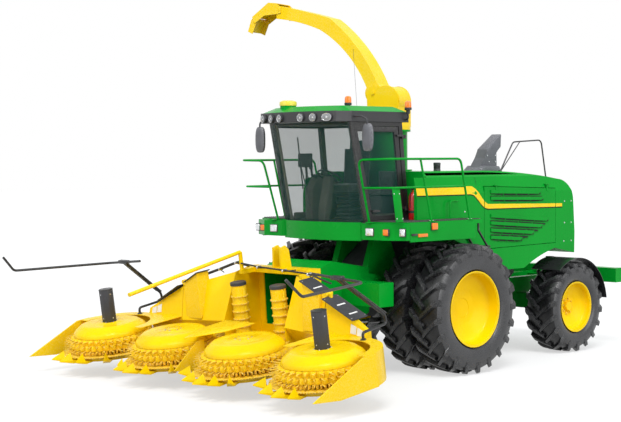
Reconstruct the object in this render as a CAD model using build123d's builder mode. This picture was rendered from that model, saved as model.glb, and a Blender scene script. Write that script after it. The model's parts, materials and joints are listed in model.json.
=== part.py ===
from build123d import *
from math import asin, atan2, cos, degrees, hypot, pi, radians, sin, sqrt, tan
import os

# Self-propelled forage harvester with a four-rotor maize header, in millimetres.
# X points forward, Y to the machine's left and Z up, with the ground at Z = 0.
# The origin lies on the ground below the middle of the whole machine, so every X
# below is counted from the front axle and moved there by the planes of this file.
os.makedirs("parts", exist_ok=True)

# Wheels
FRONT_AXLE_X = -283.5
WHEELBASE = 3050.0
FRONT_TYRE_RADIUS = 955.0
FRONT_TYRE_WIDTH = 530.0
FRONT_RIM_RADIUS = 557.0
FRONT_TRACK_INNER = 955.0
FRONT_TRACK_OUTER = 1585.0
FRONT_LUG_PAIRS = 16
FRONT_DISH = 20.0
FRONT_HUB_RADIUS = 230.0
REAR_TYRE_RADIUS = 735.0
REAR_TYRE_WIDTH = 560.0
REAR_RIM_RADIUS = 409.0
REAR_TRACK = 1170.0
REAR_LUG_PAIRS = 12
REAR_DISH = 90.0
REAR_HUB_RADIUS = 150.0
KINGPIN_Y = 800.0
LUG_HEIGHT = 46.0
LUG_THICKNESS = 58.0
LUG_ANGLE = 42.0
FLANGE_WIDTH = 24.0
BEAD_GAP = 0.3
FACE_GAP = 0.3
PIN_GAP = 0.08

# Frame and body
RAIL_Y = 330.0
RAIL_WIDTH = 110.0
RAIL_HEIGHT = 240.0
RAIL_TOP = 1180.0
RAIL_FRONT = 620.0
RAIL_REAR = -4220.0
HOOD_HALF_WIDTH = 1200.0
HOOD_WALL = 25.0
HOOD_FRONT = 580.0
HOOD_TOP = 2965.0
HOOD_REAR = -3300.0
HOOD_LOW = 1420.0
HOOD_REAR_LOW = 1600.0
DOOR_FRONT = -960.0
DOOR_REAR = -2780.0
DOOR_TOP = 2730.0
DOOR_LOW = 1760.0
DOOR_THICKNESS = 35.0
DOOR_HINGES_X = (-1250.0, -2550.0)
DOOR_HINGE_Y = HOOD_HALF_WIDTH + 6.0
DOOR_HINGE_Z = 2734.0
DOOR_HINGE_PIN = 4.0
DOOR_KNUCKLE = 9.0
DOOR_GAP = 8.0

# Cab
CAB_HALF_WIDTH = 850.0
CAB_FLOOR_TOP = 2240.0
CAB_FLOOR_THICKNESS = 110.0
CAB_FRONT_LOW = 1290.0
CAB_FRONT_HIGH = 1600.0
CAB_REAR_LOW = 360.0
CAB_REAR_HIGH = 510.0
CAB_HEAD_Z = 3690.0
CAB_BULGE = 130.0
PILLAR = 60.0
GLASS = 12.0
ROOF_BAND_HEIGHT = 150.0
ROOF_HEIGHT = 80.0
ROOF_FRONT = 1830.0
ROOF_BULGE = 140.0
ROOF_REAR = 400.0

# Discharge spout
TURRET_X = -100.0
SPOUT_HEADING = 75.0
SPOUT_WIDTH = 380.0
SPOUT_WALL = 12.0
SPOUT_PIVOT_S = 145.0
SPOUT_PIVOT_Z = 4170.0
TURRET_RADIUS = 330.0

# Header
HEADER_TILT = 8.0
ROTOR_AXIS_X = 3564.0
HUB_TOP_Z = 766.0
ROTOR_PITCH = 1507.0
ROTOR_RADIUS = 735.0
ROTOR_DEPTH = 430.0
ROTOR_TEETH = 24
FOLD_Y = 1505.0
FOLD_W = 460.0
HEADER_HALF_WIDTH = 3030.0
SHEET = 12.0

# Feeder house and lift
LIFT_X = 750.0
LIFT_Z = 1350.0
FEEDER_HALF_WIDTH = 560.0
LIFT_SHAFT_RADIUS = 45.0
LIFT_BASE = (330.0, 760.0)
LIFT_EYE = (1420.0, 800.0)
LIFT_CYLINDER_Y = 612.0
LIFT_PIN = 22.0
LIFT_EYE_RADIUS = 42.0
LIFT_EYE_HALF = 22.0
LIFT_BARREL_RADIUS = 40.0
LIFT_ROD_RADIUS = 25.0


# Planes: x counts from the front axle
def side_plane(y):
    return Plane(origin=(FRONT_AXLE_X, y, 0), x_dir=(1, 0, 0), z_dir=(0, -1, 0))


def cross_plane(x):
    return Plane(origin=(FRONT_AXLE_X + x, 0, 0), x_dir=(0, 1, 0), z_dir=(1, 0, 0))


def level_plane(z):
    return Plane(origin=(FRONT_AXLE_X, 0, z), x_dir=(1, 0, 0), z_dir=(0, 0, 1))


def at(x, y, z):
    return Location((FRONT_AXLE_X + x, y, z))


# Header frame: u forward along the deck, v to the left, w up the rotor shafts
TILT = radians(HEADER_TILT)
HEADER = Plane(
    origin=(FRONT_AXLE_X + ROTOR_AXIS_X, 0, HUB_TOP_Z),
    x_dir=(cos(TILT), 0, -sin(TILT)),
    z_dir=(sin(TILT), 0, cos(TILT)),
)


def header_point(u, v, w):
    return HEADER.from_local_coords((u, v, w))


def header_level(w, v=0.0):
    return Plane(origin=header_point(0, v, w), x_dir=HEADER.x_dir, z_dir=HEADER.z_dir)


def header_side(v):
    return Plane(origin=header_point(0, v, 0), x_dir=HEADER.x_dir, z_dir=(0, -1, 0))


# Spout frame: s out along the spout, z up, the plane's normal away from its near side
HEADING = radians(SPOUT_HEADING)
SPOUT_DIRECTION = Vector(cos(HEADING), -sin(HEADING), 0)
SPOUT_ACROSS = Vector(sin(HEADING), cos(HEADING), 0)


def spout_plane(offset=0.0):
    origin = Vector(FRONT_AXLE_X + TURRET_X, 0, 0) + SPOUT_ACROSS * offset
    return Plane(origin=origin, x_dir=SPOUT_DIRECTION, z_dir=SPOUT_ACROSS * -1)


def bar(start, end, radius):
    """A round bar from one point to another."""
    with BuildPart() as rod:
        with BuildSketch(Plane(origin=start, z_dir=(end - start).normalized())):
            Circle(radius)
        extrude(amount=(end - start).length)
    return rod.part


def keep(piece, name):
    piece.label = name
    export_step(piece, f"parts/{name}.step")


# Main frame: two rails with cross members, the rear beam and the cab's mounts
CROSS_MEMBERS_X = (300.0, -1150.0, -2150.0, -4050.0)
REAR_BEAM_X = -4252.0
REAR_BEAM_Z = 1180.0
REAR_BEAM_HEIGHT = 240.0
REAR_BEAM_DEPTH = 190.0
REAR_BEAM_HALF_WIDTH = 1420.0
REAR_BEAM_WALL = 20.0
HITCH_PIN_RADIUS = 16.0
HITCH_PLATE = 30.0
HITCH_GAP = 90.0
HITCH_DEPTH = 130.0
HITCH_X = REAR_BEAM_X + REAR_BEAM_DEPTH / 2 - REAR_BEAM_WALL - HITCH_DEPTH / 2
HITCH_PIN_ROOM = 25.0
CAB_STAND_Z = CAB_FLOOR_TOP - CAB_FLOOR_THICKNESS

with BuildPart() as main_frame:
    for side in (1, -1):
        with BuildSketch(side_plane(side * RAIL_Y)) as rail_outline:
            with BuildLine():
                Polyline(
                    (RAIL_REAR, RAIL_TOP),
                    (-60, RAIL_TOP),
                    (RAIL_FRONT - 260, CAB_STAND_Z),
                    (RAIL_FRONT, CAB_STAND_Z),
                    (RAIL_FRONT, CAB_STAND_Z - 160),
                    (RAIL_FRONT + 180, LIFT_Z + 120),
                    (RAIL_FRONT + 260, LIFT_Z - 90),
                    (RAIL_FRONT, LIFT_Z - 160),
                    (RAIL_FRONT - 120, RAIL_TOP - RAIL_HEIGHT),
                    (RAIL_REAR, RAIL_TOP - RAIL_HEIGHT),
                    close=True,
                )
            make_face()
        extrude(amount=RAIL_WIDTH / 2, both=True)
    for member_x in CROSS_MEMBERS_X:
        with Locations(at(member_x, 0, RAIL_TOP - RAIL_HEIGHT / 2)):
            Box(160, 2 * RAIL_Y, RAIL_HEIGHT - 60)
    with BuildSketch(side_plane(0)) as beam_channel:
        with Locations((REAR_BEAM_X, REAR_BEAM_Z)):
            Rectangle(REAR_BEAM_DEPTH, REAR_BEAM_HEIGHT)
        with Locations((REAR_BEAM_X - REAR_BEAM_WALL, REAR_BEAM_Z)):
            Rectangle(
                REAR_BEAM_DEPTH, REAR_BEAM_HEIGHT - 2 * REAR_BEAM_WALL, mode=Mode.SUBTRACT
            )
    extrude(amount=REAR_BEAM_HALF_WIDTH, both=True)
    for level in (1, -1):
        with Locations(at(HITCH_X, 0, REAR_BEAM_Z + level * (HITCH_GAP + HITCH_PLATE) / 2)):
            Box(HITCH_DEPTH, 200, HITCH_PLATE)
            Cylinder(HITCH_PIN_RADIUS, HITCH_PLATE, mode=Mode.SUBTRACT)
        # Room for the pin to pass each flange of the beam
        with Locations(at(HITCH_X, 0, REAR_BEAM_Z + level * (REAR_BEAM_HEIGHT - REAR_BEAM_WALL) / 2)):
            Cylinder(HITCH_PIN_ROOM, REAR_BEAM_WALL + 2, mode=Mode.SUBTRACT)
    for side in (1, -1):
        with Locations(at(REAR_BEAM_X, side * (REAR_BEAM_HALF_WIDTH - REAR_BEAM_WALL / 2), REAR_BEAM_Z)):
            Box(REAR_BEAM_DEPTH, REAR_BEAM_WALL, REAR_BEAM_HEIGHT)
    with BuildSketch(side_plane(0)):
        with Locations((LIFT_X, LIFT_Z)):
            Circle(LIFT_SHAFT_RADIUS)
    extrude(amount=FEEDER_HALF_WIDTH + 15, both=True)
keep(main_frame.part, "main_frame")

# Front axle: final-drive housings bolted to the rails, with the outer hub faces
AXLE_INNER_Y = RAIL_Y + RAIL_WIDTH / 2
HUB_FACE_Y = 660.0
with BuildPart() as front_axle:
    with BuildSketch(side_plane(0)):
        with Locations((0, FRONT_TYRE_RADIUS)):
            Circle(150)
    extrude(amount=HUB_FACE_Y, both=True)
    with BuildSketch(side_plane(0)):
        with Locations((0, FRONT_TYRE_RADIUS)):
            Circle(250)
    extrude(amount=HUB_FACE_Y - 60, both=True)
    with Locations(at(0, 0, FRONT_TYRE_RADIUS)):
        Box(620, 2 * (RAIL_Y - RAIL_WIDTH / 2), 620, mode=Mode.SUBTRACT)
    with BuildSketch(side_plane(0)):
        with Locations((0, FRONT_TYRE_RADIUS)):
            Rectangle(180, 120)
    extrude(amount=RAIL_Y - RAIL_WIDTH / 2, both=True)
    for member_y in (RAIL_Y, -RAIL_Y):
        with BuildSketch(side_plane(member_y)):
            with Locations((0, (RAIL_TOP - RAIL_HEIGHT) / 2 + FRONT_TYRE_RADIUS / 2)):
                Rectangle(420, RAIL_HEIGHT)
        extrude(amount=RAIL_WIDTH / 2, both=True)
    with BuildSketch(side_plane(0)):
        with Locations((0, RAIL_TOP - RAIL_HEIGHT / 2 + 30)):
            Rectangle(900, RAIL_HEIGHT + 60)
    extrude(amount=RAIL_Y + RAIL_WIDTH / 2, both=True, mode=Mode.SUBTRACT)
    for side in (1, -1):
        with BuildSketch(side_plane(side * (LIFT_CYLINDER_Y - LIFT_BARREL_RADIUS - 6))):
            with BuildLine():
                Polyline(
                    (100, 900),
                    (120, 720),
                    (LIFT_BASE[0], LIFT_BASE[1] - 45),
                    (LIFT_BASE[0] + 45, LIFT_BASE[1]),
                    (LIFT_BASE[0], LIFT_BASE[1] + 45),
                    close=True,
                )
            make_face()
        extrude(amount=side * 22)
        with BuildSketch(side_plane(side * (LIFT_CYLINDER_Y - LIFT_BARREL_RADIUS - 10))):
            with Locations(LIFT_BASE):
                Circle(LIFT_PIN)
        extrude(amount=-side * (LIFT_BARREL_RADIUS + LIFT_EYE_HALF + 18))
keep(front_axle.part, "front_axle")

# Rear axle: box beam below the rails, ending in the kingpin eyes
AXLE_BEAM_WIDTH = 200.0
AXLE_BEAM_TOP = 900.0
AXLE_BEAM_LOW = 660.0
KINGPIN_RADIUS = 45.0
KINGPIN_HALF = 175.0
EYE_RADIUS = 85.0
with BuildPart() as rear_axle:
    with BuildSketch(cross_plane(-WHEELBASE)):
        with BuildLine():
            Polyline(
                (-KINGPIN_Y, REAR_TYRE_RADIUS - 90),
                (-420, AXLE_BEAM_LOW),
                (420, AXLE_BEAM_LOW),
                (KINGPIN_Y, REAR_TYRE_RADIUS - 90),
                (KINGPIN_Y, REAR_TYRE_RADIUS + 90),
                (KINGPIN_Y - 160, REAR_TYRE_RADIUS + 90),
                (420, AXLE_BEAM_TOP),
                (-420, AXLE_BEAM_TOP),
                (-KINGPIN_Y + 160, REAR_TYRE_RADIUS + 90),
                (-KINGPIN_Y, REAR_TYRE_RADIUS + 90),
                close=True,
            )
        make_face()
    extrude(amount=AXLE_BEAM_WIDTH / 2 - 15, both=True)
    with Locations(at(-WHEELBASE, 0, (AXLE_BEAM_TOP + RAIL_TOP - RAIL_HEIGHT) / 2)):
        Box(360, 2 * RAIL_Y, RAIL_TOP - RAIL_HEIGHT - AXLE_BEAM_TOP)
    with Locations(at(-WHEELBASE, KINGPIN_Y, REAR_TYRE_RADIUS), at(-WHEELBASE, -KINGPIN_Y, REAR_TYRE_RADIUS)):
        Cylinder(EYE_RADIUS, 180)
        Cylinder(KINGPIN_RADIUS + PIN_GAP, 180, mode=Mode.SUBTRACT)
keep(rear_axle.part, "rear_axle")


def tyre(radius, width, rim_radius, pairs):
    """A tyre about the Y axis: one flat facet of carcass for each pair of chevron lugs."""
    half = width / 2
    bead = rim_radius - FLANGE_WIDTH + BEAD_GAP
    lean = radians(LUG_ANGLE)
    long = (half - 8) / cos(lean)
    reach = long / 2 * sin(lean) + LUG_THICKNESS / 2 * cos(lean)
    lug_top = sqrt(radius**2 - reach**2)
    crown = lug_top - LUG_HEIGHT
    step = 360 / pairs
    # Turned so that the inner corner of one lug stands on the ground
    phase = degrees(atan2(reach, lug_top)) - 90
    corner = 1 / cos(radians(step / 2))
    # Sections across the tyre: offset from its middle, and distance of the flats from the axle
    sections = (
        (-half + 50, bead + 20),
        (-half, (bead + crown) / 2),
        (-half * 0.8, crown),
        (half * 0.8, crown),
        (half, (bead + crown) / 2),
        (half - 50, bead + 20),
    )
    with BuildPart() as ring:
        for across, flat in sections:
            with BuildSketch(Plane(origin=(0, across, 0), x_dir=(1, 0, 0), z_dir=(0, -1, 0))):
                RegularPolygon(flat * corner, pairs, rotation=phase + step / 2)
        loft(ruled=True)
        with BuildSketch(Plane.XZ):
            RegularPolygon(bead * corner, pairs, rotation=phase + step / 2)
        extrude(amount=width, both=True, mode=Mode.SUBTRACT)
        lugs = []
        for hand, stagger in ((1, 0), (-1, step / 2)):
            for index in range(pairs):
                angle = radians(phase + stagger + index * step)
                out = Vector(cos(angle), 0, sin(angle))
                along = Vector(-sin(angle), 0, cos(angle))
                run = Vector(0, hand * cos(lean), 0) + along * sin(lean)
                centre = Vector(0, hand * (half / 2 + 3), 0)
                with BuildSketch(Plane(origin=centre, x_dir=run, z_dir=run.cross(out))):
                    with BuildLine():
                        Polyline(
                            (-long / 2, crown - 26),
                            (-long / 2, lug_top),
                            (long / 2 - 30, lug_top - 16),
                            (long / 2, crown - 40),
                            close=True,
                        )
                    make_face()
                lugs.append(extrude(amount=LUG_THICKNESS / 2, both=True, mode=Mode.PRIVATE))
        add(lugs)
    return ring.part


def rim(rim_radius, width, dish, hub_radius):
    """A pressed rim about the Y axis: flanges, the seat between them and the dished centre."""
    half = width / 2 - 32
    seat = rim_radius - FLANGE_WIDTH
    with BuildPart() as wheel:
        with BuildSketch(Plane.YZ):
            with BuildLine():
                Polyline(
                    (-half, rim_radius),
                    (-half + 14, rim_radius),
                    (-half + 14, seat),
                    (half - 14, seat),
                    (half - 14, rim_radius),
                    (half, rim_radius),
                    (half, seat - 12),
                    (dish + 16, seat - 40),
                    (dish - 40, hub_radius),
                    (dish - 40, 0),
                    (dish - 60, 0),
                    (dish - 60, hub_radius),
                    (dish - 8, seat - 40),
                    (-half, seat - 12),
                    close=True,
                )
            make_face()
        revolve(axis=Axis.Y)
    return wheel.part


def both_hands(piece):
    """The left-hand piece and its mirror image, by side."""
    return {1: piece, -1: mirror(piece, about=Plane.XZ)}


FRONT_TYRE = both_hands(tyre(FRONT_TYRE_RADIUS, FRONT_TYRE_WIDTH, FRONT_RIM_RADIUS, FRONT_LUG_PAIRS))
REAR_TYRE = both_hands(tyre(REAR_TYRE_RADIUS, REAR_TYRE_WIDTH, REAR_RIM_RADIUS, REAR_LUG_PAIRS))
FRONT_RIM = both_hands(rim(FRONT_RIM_RADIUS, FRONT_TYRE_WIDTH, FRONT_DISH, FRONT_HUB_RADIUS))
REAR_RIM = both_hands(rim(REAR_RIM_RADIUS, REAR_TYRE_WIDTH, REAR_DISH, REAR_HUB_RADIUS))


# Front wheels: twins on one hub drum that runs through both rims
for side_name, side in (("left", 1), ("right", -1)):
    tracks = (side * FRONT_TRACK_INNER, side * FRONT_TRACK_OUTER)
    with BuildPart() as front_tyres:
        for track in tracks:
            add(FRONT_TYRE[side].moved(at(0, track, FRONT_TYRE_RADIUS)))
    keep(front_tyres.part, f"front_tyres_{side_name}")
    with BuildPart() as front_rims:
        for track in tracks:
            add(FRONT_RIM[side].moved(at(0, track, FRONT_TYRE_RADIUS)))
        hub_start = HUB_FACE_Y + FACE_GAP
        hub_end = FRONT_TRACK_OUTER + FRONT_DISH
        with BuildSketch(side_plane(side * hub_start)):
            with Locations((0, FRONT_TYRE_RADIUS)):
                Circle(FRONT_HUB_RADIUS - 40)
        extrude(amount=-side * (hub_end - hub_start))
    keep(front_rims.part, f"front_rims_{side_name}")

# Rear wheels and the steered knuckles with their mudguards
GUARD_RADIUS = 790.0
GUARD_THICKNESS = 10.0
GUARD_HALF_WIDTH = 285.0
KNUCKLE_FACE_Y = 965.0
STRUT_Y = 851.0
STRUT_HALF = 12.0
STRUT_WIDTH = 110.0
STRUT_LOW = KINGPIN_HALF - 70.0
STRUT_TAB = 14.0
for side_name, side in (("left", 1), ("right", -1)):
    with BuildPart() as rear_tyre:
        add(REAR_TYRE[side].moved(at(-WHEELBASE, side * REAR_TRACK, REAR_TYRE_RADIUS)))
    keep(rear_tyre.part, f"rear_tyre_{side_name}")
    with BuildPart() as rear_rim:
        add(REAR_RIM[side].moved(at(-WHEELBASE, side * REAR_TRACK, REAR_TYRE_RADIUS)))
        with BuildSketch(side_plane(side * (KNUCKLE_FACE_Y + FACE_GAP))):
            with Locations((-WHEELBASE, REAR_TYRE_RADIUS)):
                Circle(REAR_HUB_RADIUS - 25)
        extrude(amount=-side * (REAR_TRACK + REAR_DISH - KNUCKLE_FACE_Y))
    keep(rear_rim.part, f"rear_rim_{side_name}")
    with BuildPart() as knuckle:
        with Locations(at(-WHEELBASE, side * KINGPIN_Y, REAR_TYRE_RADIUS)):
            Cylinder(KINGPIN_RADIUS, 2 * KINGPIN_HALF)
        for level in (1, -1):
            with Locations(
                at(-WHEELBASE, side * (KINGPIN_Y + 35), REAR_TYRE_RADIUS + level * (KINGPIN_HALF - 40))
            ):
                Box(150, 220, 80)
        with BuildSketch(side_plane(side * (KNUCKLE_FACE_Y - 60))):
            with Locations((-WHEELBASE, REAR_TYRE_RADIUS)):
                RectangleRounded(200, 2 * KINGPIN_HALF, 60)
        extrude(amount=-side * 60)
        with BuildSketch(side_plane(side * REAR_TRACK)):
            with Locations((-WHEELBASE, REAR_TYRE_RADIUS)):
                Circle(GUARD_RADIUS + GUARD_THICKNESS)
                Circle(GUARD_RADIUS, mode=Mode.SUBTRACT)
            with BuildLine():
                Polyline(
                    (-WHEELBASE, REAR_TYRE_RADIUS),
                    (-WHEELBASE + 1200, REAR_TYRE_RADIUS + 1500),
                    (-WHEELBASE - 1600, REAR_TYRE_RADIUS + 1500),
                    (-WHEELBASE - 1600, REAR_TYRE_RADIUS + 200),
                    close=True,
                )
            make_face(mode=Mode.INTERSECT)
        extrude(amount=GUARD_HALF_WIDTH, both=True)
        strut_top = GUARD_RADIUS + STRUT_TAB / 2
        with BuildSketch(side_plane(side * STRUT_Y)):
            with Locations((-WHEELBASE, REAR_TYRE_RADIUS + (STRUT_LOW + strut_top) / 2)):
                Rectangle(STRUT_WIDTH, strut_top - STRUT_LOW)
        extrude(amount=STRUT_HALF, both=True)
        with Locations(at(-WHEELBASE, side * (STRUT_Y + 30), REAR_TYRE_RADIUS + strut_top)):
            Box(STRUT_WIDTH, 2 * STRUT_HALF + 60, STRUT_TAB)
    keep(knuckle.part, f"rear_knuckle_{side_name}")

# Engine with its gearbox, one plain block between the rails' tops and the hood
ENGINE_LENGTH = 1500.0
ENGINE_WIDTH = 900.0
ENGINE_HEIGHT = 1150.0
ENGINE_X = -1900.0
with BuildPart() as engine:
    with Locations(at(ENGINE_X, 0, RAIL_TOP + ENGINE_HEIGHT / 2)):
        Box(ENGINE_LENGTH, ENGINE_WIDTH, ENGINE_HEIGHT)
        chamfer(engine.edges().filter_by(Axis.X), length=90)
keep(engine.part, "engine")

# Chopper and blower housing between the rails, under the crop chute
HOUSING_REAR = -500.0
HOUSING_FRONT = LIFT_X - LIFT_SHAFT_RADIUS - 15.0
HOUSING_LOW = RAIL_TOP - 30.0
CHUTE_LOW = 1900.0
with BuildPart() as chopper_housing:
    with BuildSketch(side_plane(0)):
        with BuildLine():
            Polyline(
                (HOUSING_REAR, HOUSING_LOW),
                (HOUSING_REAR, CHUTE_LOW - 60),
                (HOUSING_REAR + 60, CHUTE_LOW),
                (240, CHUTE_LOW),
                (HOUSING_FRONT, 1560),
                (HOUSING_FRONT, HOUSING_LOW + 40),
                (HOUSING_FRONT - 60, HOUSING_LOW),
                close=True,
            )
        make_face()
    extrude(amount=RAIL_Y - RAIL_WIDTH / 2, both=True)
keep(chopper_housing.part, "chopper_housing")

# Hood: one shell over the chute, engine and coolers, arched over both wheels
TYRE_ARCH = FRONT_TYRE_RADIUS + 55.0
ARCH_REAR = -1950.0


def hood_side(half_width, inset):
    """Side profile of the hood on its left face, drawn the given distance inside the skin."""
    top = HOOD_TOP - inset
    front = HOOD_FRONT - inset
    rear = HOOD_REAR + inset
    arch = TYRE_ARCH + inset
    diagonal = inset * 0.7
    arch_mid = (-arch * sin(radians(30)), FRONT_TYRE_RADIUS + arch * cos(radians(30)))
    arch_end = (-sqrt(arch**2 - (HOOD_LOW + inset - FRONT_TYRE_RADIUS) ** 2), HOOD_LOW + inset)
    with BuildSketch(side_plane(half_width)) as profile:
        with BuildLine():
            Polyline((0, FRONT_TYRE_RADIUS + arch), (front, FRONT_TYRE_RADIUS + arch), (front, top))
            Line((front, top), (DOOR_FRONT, top))
            ThreePointArc((DOOR_FRONT, top), (-2000, top - 45), (-2900, top - 150))
            ThreePointArc((-2900, top - 150), (-3140 + diagonal, top - 243), (rear + 38, top - 485))
            Polyline((rear + 38, top - 485), (rear, 1950), (rear + 10, HOOD_REAR_LOW + inset))
            Line((rear + 10, HOOD_REAR_LOW + inset), (-2760, 1700 + inset))
            ThreePointArc((-2760, 1700 + inset), (-2330, 1580 + inset), (ARCH_REAR, HOOD_LOW + inset))
            Line((ARCH_REAR, HOOD_LOW + inset), arch_end)
            ThreePointArc(arch_end, arch_mid, (0, FRONT_TYRE_RADIUS + arch))
        make_face()
    return profile.sketch


def hood_block(half_width, inset):
    """The hood's profile run across the machine."""
    with BuildPart() as block:
        add(hood_side(half_width, inset))
        extrude(amount=2 * half_width, dir=(0, -1, 0))
    return block.part


with BuildPart() as hood_section:
    with BuildSketch(cross_plane(HOOD_FRONT + 50)):
        with BuildLine():
            Polyline(
                (-HOOD_HALF_WIDTH - 30, 1200),
                (-HOOD_HALF_WIDTH - 30, 2500),
                (-HOOD_HALF_WIDTH + 60, HOOD_TOP - 90),
                (-HOOD_HALF_WIDTH + 160, HOOD_TOP + 20),
                (HOOD_HALF_WIDTH - 160, HOOD_TOP + 20),
                (HOOD_HALF_WIDTH - 60, HOOD_TOP - 90),
                (HOOD_HALF_WIDTH + 30, 2500),
                (HOOD_HALF_WIDTH + 30, 1200),
                close=True,
            )
        make_face()
    extrude(amount=-(HOOD_FRONT - HOOD_REAR + 200))

def behind_cab(block, inset):
    """The given block without the room that the cab takes."""
    with BuildPart() as room:
        with BuildSketch(level_plane(1500)):
            with Locations((CAB_REAR_LOW - 50 - inset + 500, 0)):
                Rectangle(1000, 2 * (HOOD_HALF_WIDTH - 60 + inset))
        extrude(amount=2000)
    return block - room.part


HOOD_INNER_HALF = HOOD_HALF_WIDTH - 60 - HOOD_WALL
HOOD_CORE = 600.0
with BuildPart() as hood:
    add(behind_cab(hood_block(HOOD_HALF_WIDTH, 0) & hood_section.part, 0))
    add(behind_cab(hood_block(HOOD_INNER_HALF, HOOD_WALL), HOOD_WALL), mode=Mode.SUBTRACT)
    with BuildSketch(side_plane(0)) as door_opening:
        with BuildLine():
            Polyline(
                (DOOR_FRONT, DOOR_LOW),
                (DOOR_FRONT, DOOR_TOP),
                (DOOR_REAR, DOOR_TOP - 60),
                (DOOR_REAR, DOOR_LOW + 20),
                close=True,
            )
        make_face()
    extrude(amount=HOOD_HALF_WIDTH + 50, both=True, mode=Mode.SUBTRACT)
    with Locations(at(TURRET_X, 0, HOOD_TOP)):
        Cylinder(TURRET_RADIUS + 6, 200, mode=Mode.SUBTRACT)
    with BuildSketch(side_plane(0)) as belly:
        with Locations((-950, 1300)):
            Rectangle(2300, 400)
    extrude(amount=HOOD_INNER_HALF, both=True, mode=Mode.SUBTRACT)
    with BuildSketch(side_plane(0)) as core:
        with Locations((-1250, 1750)):
            Rectangle(3600, 800)
    extrude(amount=HOOD_CORE, both=True, mode=Mode.SUBTRACT)
    for side in (1, -1):
        for hinge_x in DOOR_HINGES_X:
            for offset in (-34, 34):
                with Locations(at(hinge_x + offset, side * (DOOR_HINGE_Y - 23), DOOR_HINGE_Z)):
                    Box(26, 46, 14)
                with Locations(at(hinge_x + offset, side * DOOR_HINGE_Y, DOOR_HINGE_Z)):
                    Cylinder(DOOR_KNUCKLE, 26, rotation=(0, 90, 0))
            with Locations(at(hinge_x, side * DOOR_HINGE_Y, DOOR_HINGE_Z)):
                Cylinder(DOOR_HINGE_PIN, 70, rotation=(0, 90, 0))
keep(hood.part, "hood")

# Hood doors: flat panels in the side openings, with raised louvre blades
LOUVRES = (
    # front x, front z, rear x, rear z
    (-1110, 2640, -2380, 2610),
    (-1110, 2540, -2450, 2510),
    (-1110, 2270, -2580, 2170),
    (-1110, 2160, -2420, 2070),
    (-1110, 2050, -2200, 1975),
    (-1110, 1940, -1900, 1885),
)
for side_name, side in (("left", 1), ("right", -1)):
    with BuildPart() as hood_door:
        with BuildSketch(side_plane(side * HOOD_HALF_WIDTH)):
            with BuildLine():
                Polyline(
                    (DOOR_FRONT - DOOR_GAP, DOOR_LOW + DOOR_GAP),
                    (DOOR_FRONT - DOOR_GAP, DOOR_TOP - DOOR_GAP),
                    (DOOR_REAR + DOOR_GAP, DOOR_TOP - 60 - DOOR_GAP),
                    (DOOR_REAR + DOOR_GAP, DOOR_LOW + 20 + DOOR_GAP),
                    close=True,
                )
            make_face()
        extrude(amount=side * DOOR_THICKNESS)
        for front_x, front_z, rear_x, rear_z in LOUVRES:
            with BuildSketch(side_plane(side * (HOOD_HALF_WIDTH - 1))):
                with BuildLine():
                    Polyline(
                        (front_x, front_z - 26),
                        (front_x, front_z + 26),
                        (rear_x, rear_z + 26),
                        (rear_x + 60, rear_z - 26),
                        close=True,
                    )
                make_face()
            extrude(amount=-side * 18)
        for hinge_x in DOOR_HINGES_X:
            with Locations(at(hinge_x, side * (DOOR_HINGE_Y - 4), DOOR_HINGE_Z - 52)):
                Box(36, 8, 104)
            with Locations(at(hinge_x, side * DOOR_HINGE_Y, DOOR_HINGE_Z)):
                Cylinder(DOOR_KNUCKLE, 36, rotation=(0, 90, 0))
                Cylinder(DOOR_HINGE_PIN + PIN_GAP, 36, rotation=(0, 90, 0), mode=Mode.SUBTRACT)
    keep(hood_door.part, f"hood_door_{side_name}")

# Front panel below the cab: bulged centre and two lamp panels
PANEL_LOW = 1975.0
PANEL_TOP = CAB_FLOOR_TOP
with BuildPart() as front_panel:
    with BuildSketch(level_plane(PANEL_LOW)):
        with BuildLine():
            ThreePointArc((1345, -800), (1490, 0), (1345, 800))
            Line((1345, 800), (1318, 800))
            ThreePointArc((1318, 800), (1462, 0), (1318, -800))
            Line((1318, -800), (1345, -800))
        make_face()
    extrude(amount=PANEL_TOP - PANEL_LOW)
    for side in (1, -1):
        with BuildSketch(level_plane(PANEL_LOW + 20)):
            with BuildLine():
                Polyline(
                    (1335, side * 800),
                    (1375, side * 840),
                    (1370, side * 1240),
                    (1200, side * 1560),
                    (1130, side * 1560),
                    (1290, side * 1215),
                    (1290, side * 800),
                    close=True,
                )
            make_face()
        extrude(amount=235)
keep(front_panel.part, "front_panel")

# Cab: floor, corner frame, roof and glazing, each its own piece
with BuildPart() as cab_floor:
    with BuildSketch(level_plane(CAB_FLOOR_TOP)):
        with BuildLine():
            Polyline(
                (CAB_REAR_LOW - 30, -CAB_HALF_WIDTH),
                (CAB_FRONT_LOW, -CAB_HALF_WIDTH),
            )
            ThreePointArc(
                (CAB_FRONT_LOW, -CAB_HALF_WIDTH),
                (CAB_FRONT_LOW + CAB_BULGE, 0),
                (CAB_FRONT_LOW, CAB_HALF_WIDTH),
            )
            Polyline(
                (CAB_FRONT_LOW, CAB_HALF_WIDTH),
                (CAB_REAR_LOW - 30, CAB_HALF_WIDTH),
                (CAB_REAR_LOW - 30, -CAB_HALF_WIDTH),
            )
        make_face()
    extrude(amount=-CAB_FLOOR_THICKNESS)
    add(front_panel.part, mode=Mode.SUBTRACT)
keep(cab_floor.part, "cab_floor")


def post(x_low, x_high, y, depth, width):
    """A leaning corner post from the floor to the roof band."""
    with BuildPart() as bar_piece:
        with BuildSketch(side_plane(y)):
            with BuildLine():
                Polyline(
                    (x_low, CAB_FLOOR_TOP),
                    (x_low + depth, CAB_FLOOR_TOP),
                    (x_high + depth, CAB_HEAD_Z),
                    (x_high, CAB_HEAD_Z),
                    close=True,
                )
            make_face()
        extrude(amount=width / 2, both=True)
    return bar_piece.part


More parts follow.
